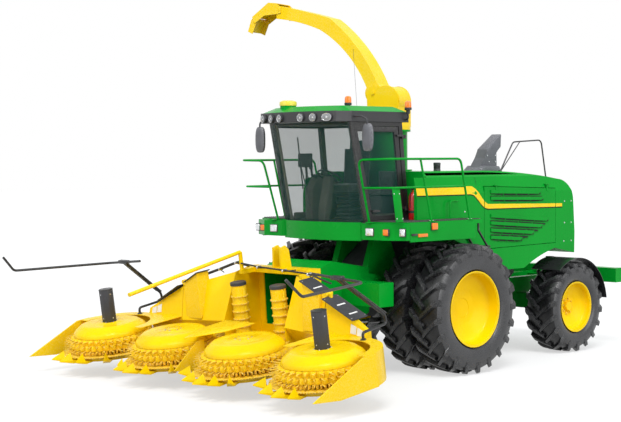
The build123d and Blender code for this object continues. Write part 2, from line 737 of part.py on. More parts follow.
def post_middle(z):
    """Middle of the rear post, counted from the front axle, at the given height."""
    share = (z - CAB_FLOOR_TOP) / (CAB_HEAD_Z - CAB_FLOOR_TOP)
    return CAB_REAR_LOW + (CAB_REAR_HIGH - CAB_REAR_LOW) * share + PILLAR / 2 + 10


CAB_HINGES_Z = (2420.0, 3480.0)
HINGE_X = 470.0
HINGE_Y = CAB_HALF_WIDTH + 30.0
HINGE_PIN = 6.0
HINGE_KNUCKLE = 12.0
POST_Y = CAB_HALF_WIDTH - PILLAR / 2
with BuildPart() as cab_frame:
    for side in (1, -1):
        add(post(CAB_FRONT_LOW - PILLAR, CAB_FRONT_HIGH - PILLAR, side * POST_Y, PILLAR, PILLAR))
        add(post(CAB_REAR_LOW, CAB_REAR_HIGH, side * POST_Y, PILLAR + 20, PILLAR))
        with Locations(at((CAB_REAR_HIGH + CAB_FRONT_HIGH) / 2, side * POST_Y, CAB_HEAD_Z - PILLAR / 2)):
            Box(CAB_FRONT_HIGH - CAB_REAR_HIGH - 20, PILLAR, PILLAR)
    with Locations(at(CAB_REAR_LOW + 60, 0, CAB_FLOOR_TOP + 230)):
        Box(40, 2 * POST_Y, 460)
    with Locations(at(CAB_REAR_HIGH + 30, 0, CAB_HEAD_Z - PILLAR / 2)):
        Box(60, 2 * POST_Y, PILLAR)
    for hinge_z in CAB_HINGES_Z:
        with Locations(at((HINGE_X + post_middle(hinge_z)) / 2, HINGE_Y - 15, hinge_z - 15)):
            Box(abs(HINGE_X - post_middle(hinge_z)) + 24, 30, 30)
        with Locations(at(HINGE_X, HINGE_Y, hinge_z - 15)):
            Cylinder(HINGE_KNUCKLE, 30)
        with Locations(at(HINGE_X, HINGE_Y, hinge_z + 10)):
            Cylinder(HINGE_PIN, 36)
keep(cab_frame.part, "cab_frame")


def roof_outline(grow):
    """The roof's plan, grown outwards by the given distance."""
    with BuildSketch() as outline:
        with BuildLine():
            Polyline(
                (ROOF_FRONT + grow, -790 - grow),
                (1600, -CAB_HALF_WIDTH - 30 - grow),
                (ROOF_REAR - grow, -CAB_HALF_WIDTH - 30 - grow),
                (ROOF_REAR - grow, CAB_HALF_WIDTH + 30 + grow),
                (1600, CAB_HALF_WIDTH + 30 + grow),
                (ROOF_FRONT + grow, 790 + grow),
            )
            ThreePointArc(
                (ROOF_FRONT + grow, 790 + grow),
                (ROOF_FRONT + ROOF_BULGE + grow, 0),
                (ROOF_FRONT + grow, -790 - grow),
            )
        make_face()
    return outline.sketch


with BuildPart() as cab_roof_band:
    with BuildSketch(level_plane(CAB_HEAD_Z)):
        add(roof_outline(0))
    extrude(amount=ROOF_BAND_HEIGHT)
keep(cab_roof_band.part, "cab_roof_band")

with BuildPart() as cab_roof:
    with BuildSketch(level_plane(CAB_HEAD_Z + ROOF_BAND_HEIGHT)):
        add(roof_outline(-20))
    with BuildSketch(level_plane(CAB_HEAD_Z + ROOF_BAND_HEIGHT + ROOF_HEIGHT)):
        add(roof_outline(-160))
    loft(ruled=True)
    with BuildSketch(level_plane(CAB_HEAD_Z + ROOF_BAND_HEIGHT)):
        with Locations((1700, -330)):
            Circle(120)
    extrude(amount=140)
keep(cab_roof.part, "cab_roof")

with BuildPart() as cab_glass:
    for height, front_x, bulge in (
        (CAB_FLOOR_TOP, CAB_FRONT_LOW, CAB_BULGE),
        (CAB_HEAD_Z, CAB_FRONT_HIGH, CAB_BULGE + 50),
    ):
        with BuildSketch(level_plane(height)):
            with BuildLine():
                ThreePointArc((front_x + 5, -POST_Y), (front_x + bulge - 5, 0), (front_x + 5, POST_Y))
                Line((front_x + 5, POST_Y), (front_x + 5 + GLASS, POST_Y))
                ThreePointArc(
                    (front_x + 5 + GLASS, POST_Y),
                    (front_x + bulge - 5 + GLASS, 0),
                    (front_x + 5 + GLASS, -POST_Y),
                )
                Line((front_x + 5 + GLASS, -POST_Y), (front_x + 5, -POST_Y))
            make_face()
    loft(ruled=True)
    with BuildSketch(side_plane(-POST_Y)):
        with BuildLine():
            Polyline(
                (CAB_REAR_LOW + 84, CAB_FLOOR_TOP + 0),
                (CAB_FRONT_LOW - PILLAR - 2, CAB_FLOOR_TOP + 0),
                (CAB_FRONT_HIGH - PILLAR - 16, CAB_HEAD_Z - PILLAR),
                (CAB_REAR_HIGH + 80, CAB_HEAD_Z - PILLAR),
                close=True,
            )
        make_face()
    extrude(amount=GLASS / 2, both=True)
    with BuildSketch(side_plane(0)):
        with BuildLine():
            Polyline(
                (CAB_REAR_LOW + 66, CAB_FLOOR_TOP + 460),
                (CAB_REAR_LOW + 78, CAB_FLOOR_TOP + 460),
                (CAB_REAR_HIGH + 48, CAB_HEAD_Z - PILLAR),
                (CAB_REAR_HIGH + 36, CAB_HEAD_Z - PILLAR),
                close=True,
            )
        make_face()
    extrude(amount=POST_Y - PILLAR / 2 - 2, both=True)
keep(cab_glass.part, "cab_glass")

# Cab door on the left: leaning frame with one pane, hinged at the rear post
CAB_DOOR_GAP = 6.0
CAB_DOOR_LOW = CAB_FLOOR_TOP + 26.0
with BuildPart() as cab_door:
    with BuildSketch(side_plane(CAB_HALF_WIDTH - 25)):
        with BuildLine():
            Polyline(
                (CAB_REAR_LOW + 88 + CAB_DOOR_GAP, CAB_DOOR_LOW),
                (CAB_FRONT_LOW - PILLAR - CAB_DOOR_GAP, CAB_DOOR_LOW),
                (CAB_FRONT_HIGH - PILLAR - 22, CAB_HEAD_Z - PILLAR - CAB_DOOR_GAP),
                (CAB_REAR_HIGH + 80 + CAB_DOOR_GAP, CAB_HEAD_Z - PILLAR - CAB_DOOR_GAP),
                close=True,
            )
        make_face()
        with BuildLine():
            Polyline(
                (CAB_REAR_LOW + 170, CAB_FLOOR_TOP + 90),
                (CAB_FRONT_LOW - 140, CAB_FLOOR_TOP + 90),
                (CAB_FRONT_HIGH - 150, CAB_HEAD_Z - 140),
                (CAB_REAR_HIGH + 165, CAB_HEAD_Z - 140),
                close=True,
            )
        make_face(mode=Mode.SUBTRACT)
    extrude(amount=20, both=True)
    with Locations(at(1100, CAB_HALF_WIDTH + 15, CAB_FLOOR_TOP + 160)):
        Box(150, 40, 30)
    for hinge_z in CAB_HINGES_Z:
        strap_end = post_middle(hinge_z) + 120
        with Locations(at((HINGE_X + strap_end) / 2, HINGE_Y - 12, hinge_z + 14.5)):
            Box(strap_end - HINGE_X, 24, 28)
        with Locations(at(strap_end - 25, CAB_HALF_WIDTH + 6, hinge_z + 14.5)):
            Box(50, 24, 28)
        with Locations(at(HINGE_X, HINGE_Y, hinge_z + 14.5)):
            Cylinder(HINGE_KNUCKLE, 28)
            Cylinder(HINGE_PIN + PIN_GAP, 40, mode=Mode.SUBTRACT)
keep(cab_door.part, "cab_door")

with BuildPart() as cab_door_glass:
    with BuildSketch(side_plane(CAB_HALF_WIDTH - 25)):
        with BuildLine():
            Polyline(
                (CAB_REAR_LOW + 170, CAB_FLOOR_TOP + 90),
                (CAB_FRONT_LOW - 140, CAB_FLOOR_TOP + 90),
                (CAB_FRONT_HIGH - 150, CAB_HEAD_Z - 140),
                (CAB_REAR_HIGH + 165, CAB_HEAD_Z - 140),
                close=True,
            )
        make_face()
    extrude(amount=GLASS / 2, both=True)
keep(cab_door_glass.part, "cab_door_glass")

# Operator's seat: cushion, backrest and headrest on a pedestal
PASSENGER_Y = 560.0
with BuildPart() as seat:
    with Locations(at(760, 0, CAB_FLOOR_TOP + 210)):
        Box(340, 320, 420)
    with Locations(at(790, 0, CAB_FLOOR_TOP + 480)):
        Box(520, 520, 120)
        fillet(seat.edges().filter_by(Axis.Z).group_by(Axis.X)[-1], radius=60)
    with BuildSketch(side_plane(0)):
        with BuildLine():
            Polyline(
                (650, CAB_FLOOR_TOP + 500),
                (625, CAB_FLOOR_TOP + 1180),
                (560, CAB_FLOOR_TOP + 1160),
                (535, CAB_FLOOR_TOP + 480),
                close=True,
            )
        make_face()
    extrude(amount=240, both=True)
    # Second seat beside the door: foot, cushion and low backrest
    with Locations(at(650, PASSENGER_Y, CAB_FLOOR_TOP + 190)):
        Box(280, 260, 380)
    with Locations(at(660, PASSENGER_Y, CAB_FLOOR_TOP + 425)):
        Box(340, 320, 90)
    with Locations(at(520, PASSENGER_Y, CAB_FLOOR_TOP + 590)):
        Box(60, 320, 300)
keep(seat.part, "seat")

# Controls: steering column with its wheel, and the console right of the seat
with BuildPart() as controls:
    with BuildSketch(side_plane(0)):
        with BuildLine():
            Polyline(
                (1260, CAB_FLOOR_TOP),
                (1340, CAB_FLOOR_TOP),
                (1225, CAB_FLOOR_TOP + 672),
                (1150, CAB_FLOOR_TOP + 648),
                close=True,
            )
        make_face()
    extrude(amount=60, both=True)
    wheel_plane = Plane(
        origin=(FRONT_AXLE_X + 1175, 0, CAB_FLOOR_TOP + 660),
        x_dir=(cos(radians(30)), 0, sin(radians(30))),
        z_dir=(-sin(radians(30)), 0, cos(radians(30))),
    )
    with BuildSketch(wheel_plane):
        Circle(200)
        Circle(172, mode=Mode.SUBTRACT)
        Rectangle(360, 40)
        Circle(50)
    extrude(amount=14, both=True)
    with Locations(at(900, -430, CAB_FLOOR_TOP + 330)):
        Box(620, 180, 660)
    with Locations(at(1230, -470, CAB_FLOOR_TOP + 900)):
        Box(60, 300, 230)
    with Locations(at(1190, -470, CAB_FLOOR_TOP + 700)):
        Box(60, 50, 300)
keep(controls.part, "controls")

# Lamps: white work lamps and amber signal lamps, each in its own node
LAMP_DEPTH = 40.0
with BuildPart() as work_lamps:
    for side in (1, -1):
        with Locations(at(1365 + LAMP_DEPTH / 2, side * 1010, 2110)):
            Box(LAMP_DEPTH, 150, 110)
        with Locations(at(1238, side * 1520, 2110)):
            Box(LAMP_DEPTH, 70, 100)
        for lamp_y, reach in ((220, 128), (440, 98), (660, 50)):
            with Locations(at(ROOF_FRONT + reach, side * lamp_y, CAB_HEAD_Z + 55)):
                Cylinder(48, 40, rotation=(0, 90, 0))
    add(front_panel.part, mode=Mode.SUBTRACT)
    add(cab_roof_band.part, mode=Mode.SUBTRACT)
keep(work_lamps.part, "work_lamps")

with BuildPart() as amber_lamps:
    for side in (1, -1):
        with Locations(at(1335, side * 1330, 2110)):
            Box(60, 90, 90)
    with Locations(at(1286, 500, CAB_HEAD_Z + ROOF_BAND_HEIGHT + ROOF_HEIGHT + 75)):
        Cylinder(52, 150)
    with Locations(at(475, CAB_HALF_WIDTH + 90, CAB_HEAD_Z + ROOF_BAND_HEIGHT + 85)):
        Cylinder(52, 160)
    with Locations(at(475, CAB_HALF_WIDTH + 80, CAB_HEAD_Z + ROOF_BAND_HEIGHT - 15)):
        Box(70, 100, 40)
    add(front_panel.part, mode=Mode.SUBTRACT)
keep(amber_lamps.part, "amber_lamps")

# Walkways beside the cab, resting on the body sides
WALK_TOP = 2250.0
WALK_THICKNESS = 60.0
WALK_REAR = -480.0
with BuildPart() as walkways:
    for side in (1, -1):
        with BuildSketch(level_plane(WALK_TOP)):
            with BuildLine():
                Polyline(
                    (1285, side * CAB_HALF_WIDTH),
                    (1285, side * 1210),
                    (1125, side * 1555),
                    (WALK_REAR, side * 1555),
                    (WALK_REAR, side * HOOD_HALF_WIDTH),
                    (HOOD_FRONT, side * HOOD_HALF_WIDTH),
                    (HOOD_FRONT, side * CAB_HALF_WIDTH),
                    close=True,
                )
            make_face()
        extrude(amount=-WALK_THICKNESS)
        with Locations(at(400, side * (1555 - 10), WALK_TOP - 140)):
            Box(1440, 20, 280)
keep(walkways.part, "walkways")

# Handrails and the ladder behind the left front wheel
RAIL_TUBE = 17.0
HANDRAIL = (
    # outer top rail, from the front inner post round to the rear
    ((1330, 960, 2225), (1600, 1000, 3140), (1560, 1540, 3150), (0, 1540, 3150), (-211, 1540, 2245)),
    ((1482, 983, 2740), (1480, 1540, 2745), (-94, 1540, 2745)),
    ((650, 1540, 2250), (880, 1540, 3150)),
)


def tube(points, radius):
    """A bent tube: round bars between the points, with a ball at each bend."""
    ends = [Vector(FRONT_AXLE_X + x, y, z) for x, y, z in points]
    with BuildPart() as bent:
        for start, end in zip(ends, ends[1:]):
            add(bar(start, end, radius))
        for bend in ends[1:-1]:
            with Locations(bend):
                Sphere(radius)
    return bent.part


with BuildPart() as handrails:
    for side in (1, -1):
        for run in HANDRAIL:
            add(tube([(x, side * y, z) for x, y, z in run], RAIL_TUBE))
    add(walkways.part, mode=Mode.SUBTRACT)
    add(front_panel.part, mode=Mode.SUBTRACT)
keep(handrails.part, "handrails")

# Foot, lower bend, upper bend and top of each stile, the top under the walkway
LADDER_PATH = ((-1110, 420), (-1110, 1300), (-440, 2080), (-440, WALK_TOP - WALK_THICKNESS))
LADDER_STEPS = ((-1110, 480), (-1110, 830), (-1110, 1180), (-912, 1530), (-655, 1830))
LADDER_INNER_Y = 1230.0
LADDER_OUTER_Y = 1510.0
with BuildPart() as ladder:
    for stile_y in (LADDER_INNER_Y, LADDER_OUTER_Y):
        add(tube([(x, stile_y, z) for x, z in LADDER_PATH], RAIL_TUBE))
    for step_x, step_z in LADDER_STEPS:
        with Locations(at(step_x, (LADDER_INNER_Y + LADDER_OUTER_Y) / 2, step_z)):
            Box(140, LADDER_OUTER_Y - LADDER_INNER_Y, 30)
keep(ladder.part, "ladder")

# Exhaust stack on the hood: a folded duct leaning back over a wide skirt
EXHAUST_Y = 600.0
DUCT_HALF = 100.0
SKIRT_HALF = 185.0
with BuildPart() as exhaust_stack:
    with BuildSketch(side_plane(EXHAUST_Y)) as duct:
        with BuildLine():
            Polyline(
                (-1400, 2943),
                (-1600, 3160),
                (-1650, 3300),
                (-2016, 3545),
                (-2003, 3336),
                (-1875, 3250),
                (-1895, 3050),
                (-1900, 2915),
                close=True,
            )
        make_face()
    extrude(amount=DUCT_HALF, both=True)
    with BuildSketch(side_plane(EXHAUST_Y)) as skirt:
        with BuildLine():
            Polyline((-1375, 2945), (-1500, 3040), (-1860, 3030), (-1930, 2913), close=True)
        make_face()
    extrude(amount=SKIRT_HALF, both=True)
    add(hood.part, mode=Mode.SUBTRACT)
keep(exhaust_stack.part, "exhaust_stack")

# Mirrors on arms at the cab's front posts, and the black rail on the hood
MIRROR_X = 1545.0
MIRROR_Y = 1130.0
HOOD_RAIL_Y = 1000.0
with BuildPart() as mirrors:
    for side in (1, -1):
        arm = (
            (MIRROR_X, CAB_HALF_WIDTH + 30, 3760),
            (MIRROR_X, CAB_HALF_WIDTH + 150, 3760),
            (MIRROR_X, MIRROR_Y, 3700),
            (MIRROR_X, MIRROR_Y, 3450),
        )
        add(tube([(x, side * y, z) for x, y, z in arm], 12))
        with Locations(at(MIRROR_X, side * MIRROR_Y, 3460)):
            Box(50, 200, 400)
    hood_rail = ((-1600, 2936), (-1930, 3410), (-2660, 3446), (-2790, 2821))
    add(tube([(x, HOOD_RAIL_Y, z) for x, z in hood_rail], 12))
    add(hood.part, mode=Mode.SUBTRACT)
keep(mirrors.part, "mirrors")

# Fire extinguisher on the left walkway, at the cab's rear corner
EXTINGUISHER_X = 385.0
EXTINGUISHER_Y = 960.0
EXTINGUISHER_HEIGHT = 500.0
with BuildPart() as extinguisher:
    with Locations(at(EXTINGUISHER_X, EXTINGUISHER_Y, WALK_TOP + EXTINGUISHER_HEIGHT / 2)):
        Cylinder(75, EXTINGUISHER_HEIGHT)
keep(extinguisher.part, "extinguisher")

# Crop chute through the body to the turret ring
CHUTE_TOP = 3600.0
with BuildPart() as spout_chute:
    with BuildSketch(level_plane(CHUTE_LOW)):
        with Locations((TURRET_X, 0)):
            Circle(TURRET_RADIUS - 30)
            Circle(TURRET_RADIUS - 30 - SPOUT_WALL, mode=Mode.SUBTRACT)
    extrude(amount=CHUTE_TOP - CHUTE_LOW)
    with BuildSketch(level_plane(CHUTE_TOP - 30)):
        with Locations((TURRET_X, 0)):
            Circle(TURRET_RADIUS + 20)
            Circle(TURRET_RADIUS - 30 - SPOUT_WALL, mode=Mode.SUBTRACT)
    extrude(amount=30)
    with BuildSketch(level_plane(HOOD_TOP)):
        with Locations((TURRET_X, 0)):
            Circle(TURRET_RADIUS + 40)
            Circle(TURRET_RADIUS - 30 - SPOUT_WALL, mode=Mode.SUBTRACT)
    extrude(amount=25)
keep(spout_chute.part, "spout_chute")

# Turret: ring, square throat and the two cheeks that carry the boom
TURRET_THROAT_TOP = 3960.0
CHEEK_GAP = 6.0
CHEEK = 14.0
CHEEK_Y = SPOUT_WIDTH / 2 + CHEEK_GAP
SPOUT_PIN = 28.0
FLAP_S, FLAP_Z = 1850.0, 5540.0
TIP_S, TIP_Z = 2315.0, 5400.0
FLAP_WALL = 8.0
FLAP_HALF = SPOUT_WIDTH / 2 + 5.0
FLAP_PIN = 12.0
TIP_PIN = 10.0
CYLINDER_OFFSET = -(CHEEK_Y + CHEEK + 55.0)
BARREL_S, BARREL_Z = 200.0, 3720.0
EYE_S, EYE_Z = 420.0, 4640.0
SPOUT_CYLINDER_PIN = 16.0
with BuildPart() as spout_turret:
    with BuildSketch(level_plane(CHUTE_TOP + FACE_GAP)):
        with Locations((TURRET_X, 0)):
            Circle(TURRET_RADIUS + 20)
            Circle(TURRET_RADIUS - 30 - SPOUT_WALL, mode=Mode.SUBTRACT)
    extrude(amount=60)
    with BuildSketch(spout_plane()) as throat:
        with Locations((-20, (CHUTE_TOP + TURRET_THROAT_TOP) / 2 + 25)):
            Rectangle(540, TURRET_THROAT_TOP - CHUTE_TOP - 50)
    extrude(amount=CHEEK_Y + CHEEK, both=True)
    with BuildSketch(spout_plane()):
        with Locations((-20, (CHUTE_TOP + TURRET_THROAT_TOP) / 2)):
            Rectangle(540 - 2 * CHEEK, TURRET_THROAT_TOP - CHUTE_TOP + 100)
    extrude(amount=CHEEK_Y, both=True, mode=Mode.SUBTRACT)
    for side in (1, -1):
        with BuildSketch(spout_plane(side * (CHEEK_Y + CHEEK / 2))):
            with BuildLine():
                Polyline((-290, 3800), (250, 3800), (250, 3960), (SPOUT_PIVOT_S + 110, SPOUT_PIVOT_Z))
                ThreePointArc(
                    (SPOUT_PIVOT_S + 110, SPOUT_PIVOT_Z),
                    (SPOUT_PIVOT_S, SPOUT_PIVOT_Z + 110),
                    (SPOUT_PIVOT_S - 110, SPOUT_PIVOT_Z + 80),
                )
                ThreePointArc((SPOUT_PIVOT_S - 110, SPOUT_PIVOT_Z + 80), (-210, 4230), (-290, 4080))
                Line((-290, 4080), (-290, 3800))
            make_face()
        extrude(amount=CHEEK / 2, both=True)
    with BuildSketch(spout_plane()):
        with BuildLine():
            ThreePointArc((-290, 3950), (-262, 4170), (-130, 4262))
            Line((-130, 4262), (-130, 4250))
            ThreePointArc((-130, 4250), (-250, 4165), (-276, 3950))
            Line((-276, 3950), (-290, 3950))
        make_face()
    extrude(amount=CHEEK_Y, both=True)
    with BuildSketch(spout_plane()):
        with Locations((SPOUT_PIVOT_S, SPOUT_PIVOT_Z)):
            Circle(SPOUT_PIN)
    extrude(amount=CHEEK_Y + CHEEK + 20, both=True)
    with BuildSketch(spout_plane()):
        with Locations((SPOUT_PIVOT_S, SPOUT_PIVOT_Z)):
            Circle(SPOUT_PIN + 2)
    extrude(amount=CHEEK_Y - 26, both=True, mode=Mode.SUBTRACT)
    with BuildSketch(spout_plane(-CHEEK_Y)):
        with Locations((BARREL_S, BARREL_Z)):
            Circle(SPOUT_CYLINDER_PIN)
    extrude(amount=-CYLINDER_OFFSET - CHEEK_Y + 24)
keep(spout_turret.part, "spout_turret")


# Boom: curved duct, closed below for its first stretch and open towards the tip
def boom_outline(inset=0.0):
    """The boom's side view, drawn the given distance inside its outer faces."""
    outer = inset * 0.7
    with BuildSketch() as outline:
        with BuildLine():
            ThreePointArc((40 + inset, 4210), (400 + outer, 4840 - outer), (940 + outer, 5370 - inset))
            ThreePointArc((940 + outer, 5370 - inset), (1400, 5500 - inset), (1900, 5620 - inset))
            Line((1900, 5620 - inset), (1900, 5405 + inset))
            ThreePointArc((1900, 5405 + inset), (1470, 5320 + inset), (1100 - outer, 5190 + outer))
            ThreePointArc((1100 - outer, 5190 + outer), (560 - outer, 4730 + outer), (250 - inset, 4210))
            Line((250 - inset, 4210), (40 + inset, 4210))
        make_face()
    return outline.sketch


BOOM_END = 150.0
with BuildPart() as spout_boom:
    with BuildSketch(spout_plane()):
        add(boom_outline())
        with Locations((SPOUT_PIVOT_S, SPOUT_PIVOT_Z)):
            Circle(BOOM_END)
    extrude(amount=SPOUT_WIDTH / 2, both=True)
    with BuildSketch(spout_plane()):
        add(boom_outline(SPOUT_WALL))
        with BuildLine():
            Polyline((1250, 5265), (1950, 5400), (1950, 5300), (1250, 5100), close=True)
        make_face()
        with BuildLine():
            Polyline((1800, 5580), (1950, 5612), (1950, 5400), (1800, 5370), close=True)
        make_face()
        with BuildLine():
            Polyline((70, 4250), (242, 4250), (242, 4000), (70, 4000), close=True)
        make_face()
    extrude(amount=SPOUT_WIDTH / 2 - SPOUT_WALL, both=True, mode=Mode.SUBTRACT)
    with BuildSketch(spout_plane()):
        with Locations((SPOUT_PIVOT_S, SPOUT_PIVOT_Z)):
            Circle(SPOUT_PIN + 22)
    extrude(amount=SPOUT_WIDTH / 2, both=True)
    with BuildSketch(spout_plane()):
        with Locations((SPOUT_PIVOT_S, SPOUT_PIVOT_Z)):
            Circle(SPOUT_PIN + 24)
    extrude(amount=SPOUT_WIDTH / 2 - SPOUT_WALL, both=True, mode=Mode.SUBTRACT)
    with BuildSketch(spout_plane()):
        with Locations((SPOUT_PIVOT_S, SPOUT_PIVOT_Z)):
            Circle(SPOUT_PIN + PIN_GAP)
    extrude(amount=SPOUT_WIDTH / 2, both=True, mode=Mode.SUBTRACT)
    for side in (1, -1):
        with BuildSketch(spout_plane(side * (SPOUT_WIDTH / 2 - SPOUT_WALL))):
            with Locations((FLAP_S, FLAP_Z)):
                Circle(FLAP_PIN)
        extrude(amount=-side * (SPOUT_WALL + 5 + FLAP_WALL + 8))
    with BuildSketch(spout_plane(-(SPOUT_WIDTH / 2 - SPOUT_WALL))):
        with Locations((EYE_S, EYE_Z)):
            Circle(SPOUT_CYLINDER_PIN)
    extrude(amount=-CYLINDER_OFFSET - SPOUT_WIDTH / 2 + SPOUT_WALL + 24)
keep(spout_boom.part, "spout_boom")

# Two end flaps: a hood over the boom's end and a second one inside it
with BuildPart() as spout_flap:
    with BuildSketch(spout_plane()):
        with BuildLine():
            Polyline(
                (1815, 5585),
                (1900, 5655),
                (2050, 5672),
                (2360, 5460),
                (2318, 5352),
                (2130, 5470),
                (1900, 5480),
                (1815, 5495),
                close=True,
            )
        make_face()
    extrude(amount=FLAP_HALF + FLAP_WALL, both=True)
    with BuildSketch(spout_plane()):
        with BuildLine():
            Polyline(
                (1780, 5700),
                (1898, 5700),
                (1898, 5645),
                (2048, 5662),
                (2420, 5408),
                (2420, 5300),
                (1780, 5300),
                close=True,
            )
        make_face()
    extrude(amount=FLAP_HALF, both=True, mode=Mode.SUBTRACT)
    with BuildSketch(spout_plane()):
        with Locations((FLAP_S, FLAP_Z)):
            Circle(FLAP_PIN + PIN_GAP)
    extrude(amount=FLAP_HALF + FLAP_WALL, both=True, mode=Mode.SUBTRACT)
    for side in (1, -1):
        with BuildSketch(spout_plane(side * (FLAP_HALF + FLAP_WALL))):
            with Locations((TIP_S, TIP_Z)):
                Circle(TIP_PIN)
        extrude(amount=side * (2 * FLAP_WALL + 5 + 4))
keep(spout_flap.part, "spout_flap")

with BuildPart() as spout_tip:
    with BuildSketch(spout_plane()):
        with BuildLine():
            Polyline((2280, 5405), (2350, 5445), (2386, 5412), (2450, 5230), (2365, 5190), (2296, 5350), close=True)
        make_face()
    extrude(amount=FLAP_HALF - 5, both=True)
    with BuildSketch(spout_plane()):
        with BuildLine():
            Polyline((2270, 5390), (2350, 5435), (2376, 5406), (2452, 5190), (2350, 5100), (2200, 5300), close=True)
        make_face()
    extrude(amount=FLAP_HALF - 5 - FLAP_WALL, both=True, mode=Mode.SUBTRACT)
    with BuildSketch(spout_plane()):
        with Locations((TIP_S, TIP_Z)):
            Circle(TIP_PIN + PIN_GAP)
    extrude(amount=FLAP_HALF, both=True, mode=Mode.SUBTRACT)
keep(spout_tip.part, "spout_tip")

# Cylinders: a barrel with an eye at its base, and a rod that slides in it
def spout_point(s, z, offset):
    base = Vector(FRONT_AXLE_X + TURRET_X, 0, 0)
    return base + SPOUT_DIRECTION * s + SPOUT_ACROSS * offset + Vector(0, 0, z)


def barrel(base, eye, pin_axis, radius, rod_radius, share, bore, eye_radius, eye_half, pin):
    """A cylinder barrel from its base eye up to the given share of the pin distance."""
    along = (eye - base).normalized()
    mouth = base + (eye - base) * share
    with BuildPart() as body:
        add(bar(base + along * (eye_radius - 8), mouth, radius))
        add(bar(base - pin_axis * eye_half, base + pin_axis * eye_half, eye_radius))
        add(bar(mouth - along * bore, mouth + along, rod_radius + ROD_GAP), mode=Mode.SUBTRACT)
        add(bar(base - pin_axis * 60, base + pin_axis * 60, pin + PIN_GAP), mode=Mode.SUBTRACT)
    return body.part


def rod(base, eye, pin_axis, radius, share, inside, eye_radius, eye_half, pin):
    """A piston rod from inside the barrel to its eye, which has play on its pin."""
    along = (eye - base).normalized()
    mouth = base + (eye - base) * share
    with BuildPart() as body:
        add(bar(mouth - along * inside, eye - along * (eye_radius - 8), radius))
        add(bar(eye - pin_axis * eye_half, eye + pin_axis * eye_half, eye_radius))
        add(bar(eye - pin_axis * 60, eye + pin_axis * 60, pin + OPEN_PIN_GAP), mode=Mode.SUBTRACT)
    return body.part


# Boom cylinder on the far side, from the turret's throat to the boom
ROD_GAP = 0.5
OPEN_PIN_GAP = 8.0
SPOUT_BARREL_RADIUS = 38.0
SPOUT_ROD_RADIUS = 20.0
SPOUT_SHARE = 0.62
SPOUT_EYE_RADIUS = 34.0
SPOUT_EYE_HALF = 16.0
spout_base = spout_point(BARREL_S, BARREL_Z, CYLINDER_OFFSET)
spout_eye = spout_point(EYE_S, EYE_Z, CYLINDER_OFFSET)
spout_cylinder = barrel(
    spout_base,
    spout_eye,
    SPOUT_ACROSS,
    SPOUT_BARREL_RADIUS,
    SPOUT_ROD_RADIUS,
    SPOUT_SHARE,
    230,
    SPOUT_EYE_RADIUS,
    SPOUT_EYE_HALF,
    SPOUT_CYLINDER_PIN,
)
spout_rod = rod(
    spout_base,
    spout_eye,
    SPOUT_ACROSS,
    SPOUT_ROD_RADIUS,
    SPOUT_SHARE,
    90,
    SPOUT_EYE_RADIUS,
    SPOUT_EYE_HALF,
    SPOUT_CYLINDER_PIN,
)
keep(spout_cylinder, "spout_cylinder")
keep(spout_rod, "spout_rod")

# Feeder house: the lift arm that carries the header
# The header's rear plane, as (u, w): its upper and lower edge
REAR_UPPER = (-1640.0, 620.0)
REAR_LOWER = (-1560.0, -455.3)


def rear_u(w):
    """Place of the header's rear plane at the given height in the header frame."""
    share = (REAR_UPPER[1] - w) / (REAR_UPPER[1] - REAR_LOWER[1])
    return REAR_UPPER[0] + (REAR_LOWER[0] - REAR_UPPER[0]) * share


def from_axle(point):
    """Side-view place of a point, counted from the front axle."""
    return (point.X - FRONT_AXLE_X, point.Z)


SIDE_BOX_Y = 1300.0
SIDE_BOX_Z = 1225.0
with BuildPart() as feeder_house:
    with BuildSketch(side_plane(0)) as feeder_profile:
        with BuildLine():
            Polyline(
                (RAIL_FRONT + 310, 1560),
                (1700, 1690),
                from_axle(header_point(rear_u(580), 0, 580)),
                from_axle(header_point(rear_u(-300), 0, -300)),
                (1500, 640),
                (RAIL_FRONT + 310, 900),
                close=True,
            )
        make_face()
    extrude(amount=FEEDER_HALF_WIDTH, both=True)
    with BuildSketch(side_plane(0)):
        with BuildLine():
            Polyline(
                (RAIL_FRONT + 200, 1500),
                (1700, 1640),
                (2100, 1490),
                (2100, 750),
                (1500, 690),
                (RAIL_FRONT + 200, 950),
                close=True,
            )
        make_face()
    extrude(amount=FEEDER_HALF_WIDTH - 30, both=True, mode=Mode.SUBTRACT)
    # Box for the drives on the left side, open at its rear
    with Locations(at(1350, (FEEDER_HALF_WIDTH - 10 + SIDE_BOX_Y) / 2, SIDE_BOX_Z)):
        Box(300, SIDE_BOX_Y - FEEDER_HALF_WIDTH + 10, 340)
    with Locations(at(1330, (FEEDER_HALF_WIDTH + 2 + SIDE_BOX_Y - SHEET) / 2, SIDE_BOX_Z)):
        Box(300, SIDE_BOX_Y - SHEET - (FEEDER_HALF_WIDTH + 2), 340 - 2 * SHEET, mode=Mode.SUBTRACT)
    for side in (1, -1):
        with BuildSketch(side_plane(side * (FEEDER_HALF_WIDTH - 20))):
            with BuildLine():
                Polyline(
                    (LIFT_X - 90, LIFT_Z + 60),
                    (LIFT_X + 60, LIFT_Z + 100),
                    (1100, 1500),
                    (1100, 1050),
                    (LIFT_X + 40, LIFT_Z - 100),
                    (LIFT_X - 90, LIFT_Z - 60),
                    close=True,
                )
            make_face()
        extrude(amount=20, both=True)
        with BuildSketch(side_plane(side * (FEEDER_HALF_WIDTH - 10))):
            with Locations(LIFT_EYE):
                Circle(LIFT_PIN)
        extrude(amount=-side * (LIFT_CYLINDER_Y + LIFT_EYE_HALF + 8 - FEEDER_HALF_WIDTH + 10))
    with BuildSketch(side_plane(0)):
        with Locations((LIFT_X, LIFT_Z)):
            Circle(LIFT_SHAFT_RADIUS + PIN_GAP)
    extrude(amount=FEEDER_HALF_WIDTH + 10, both=True, mode=Mode.SUBTRACT)
keep(feeder_house.part, "feeder_house")


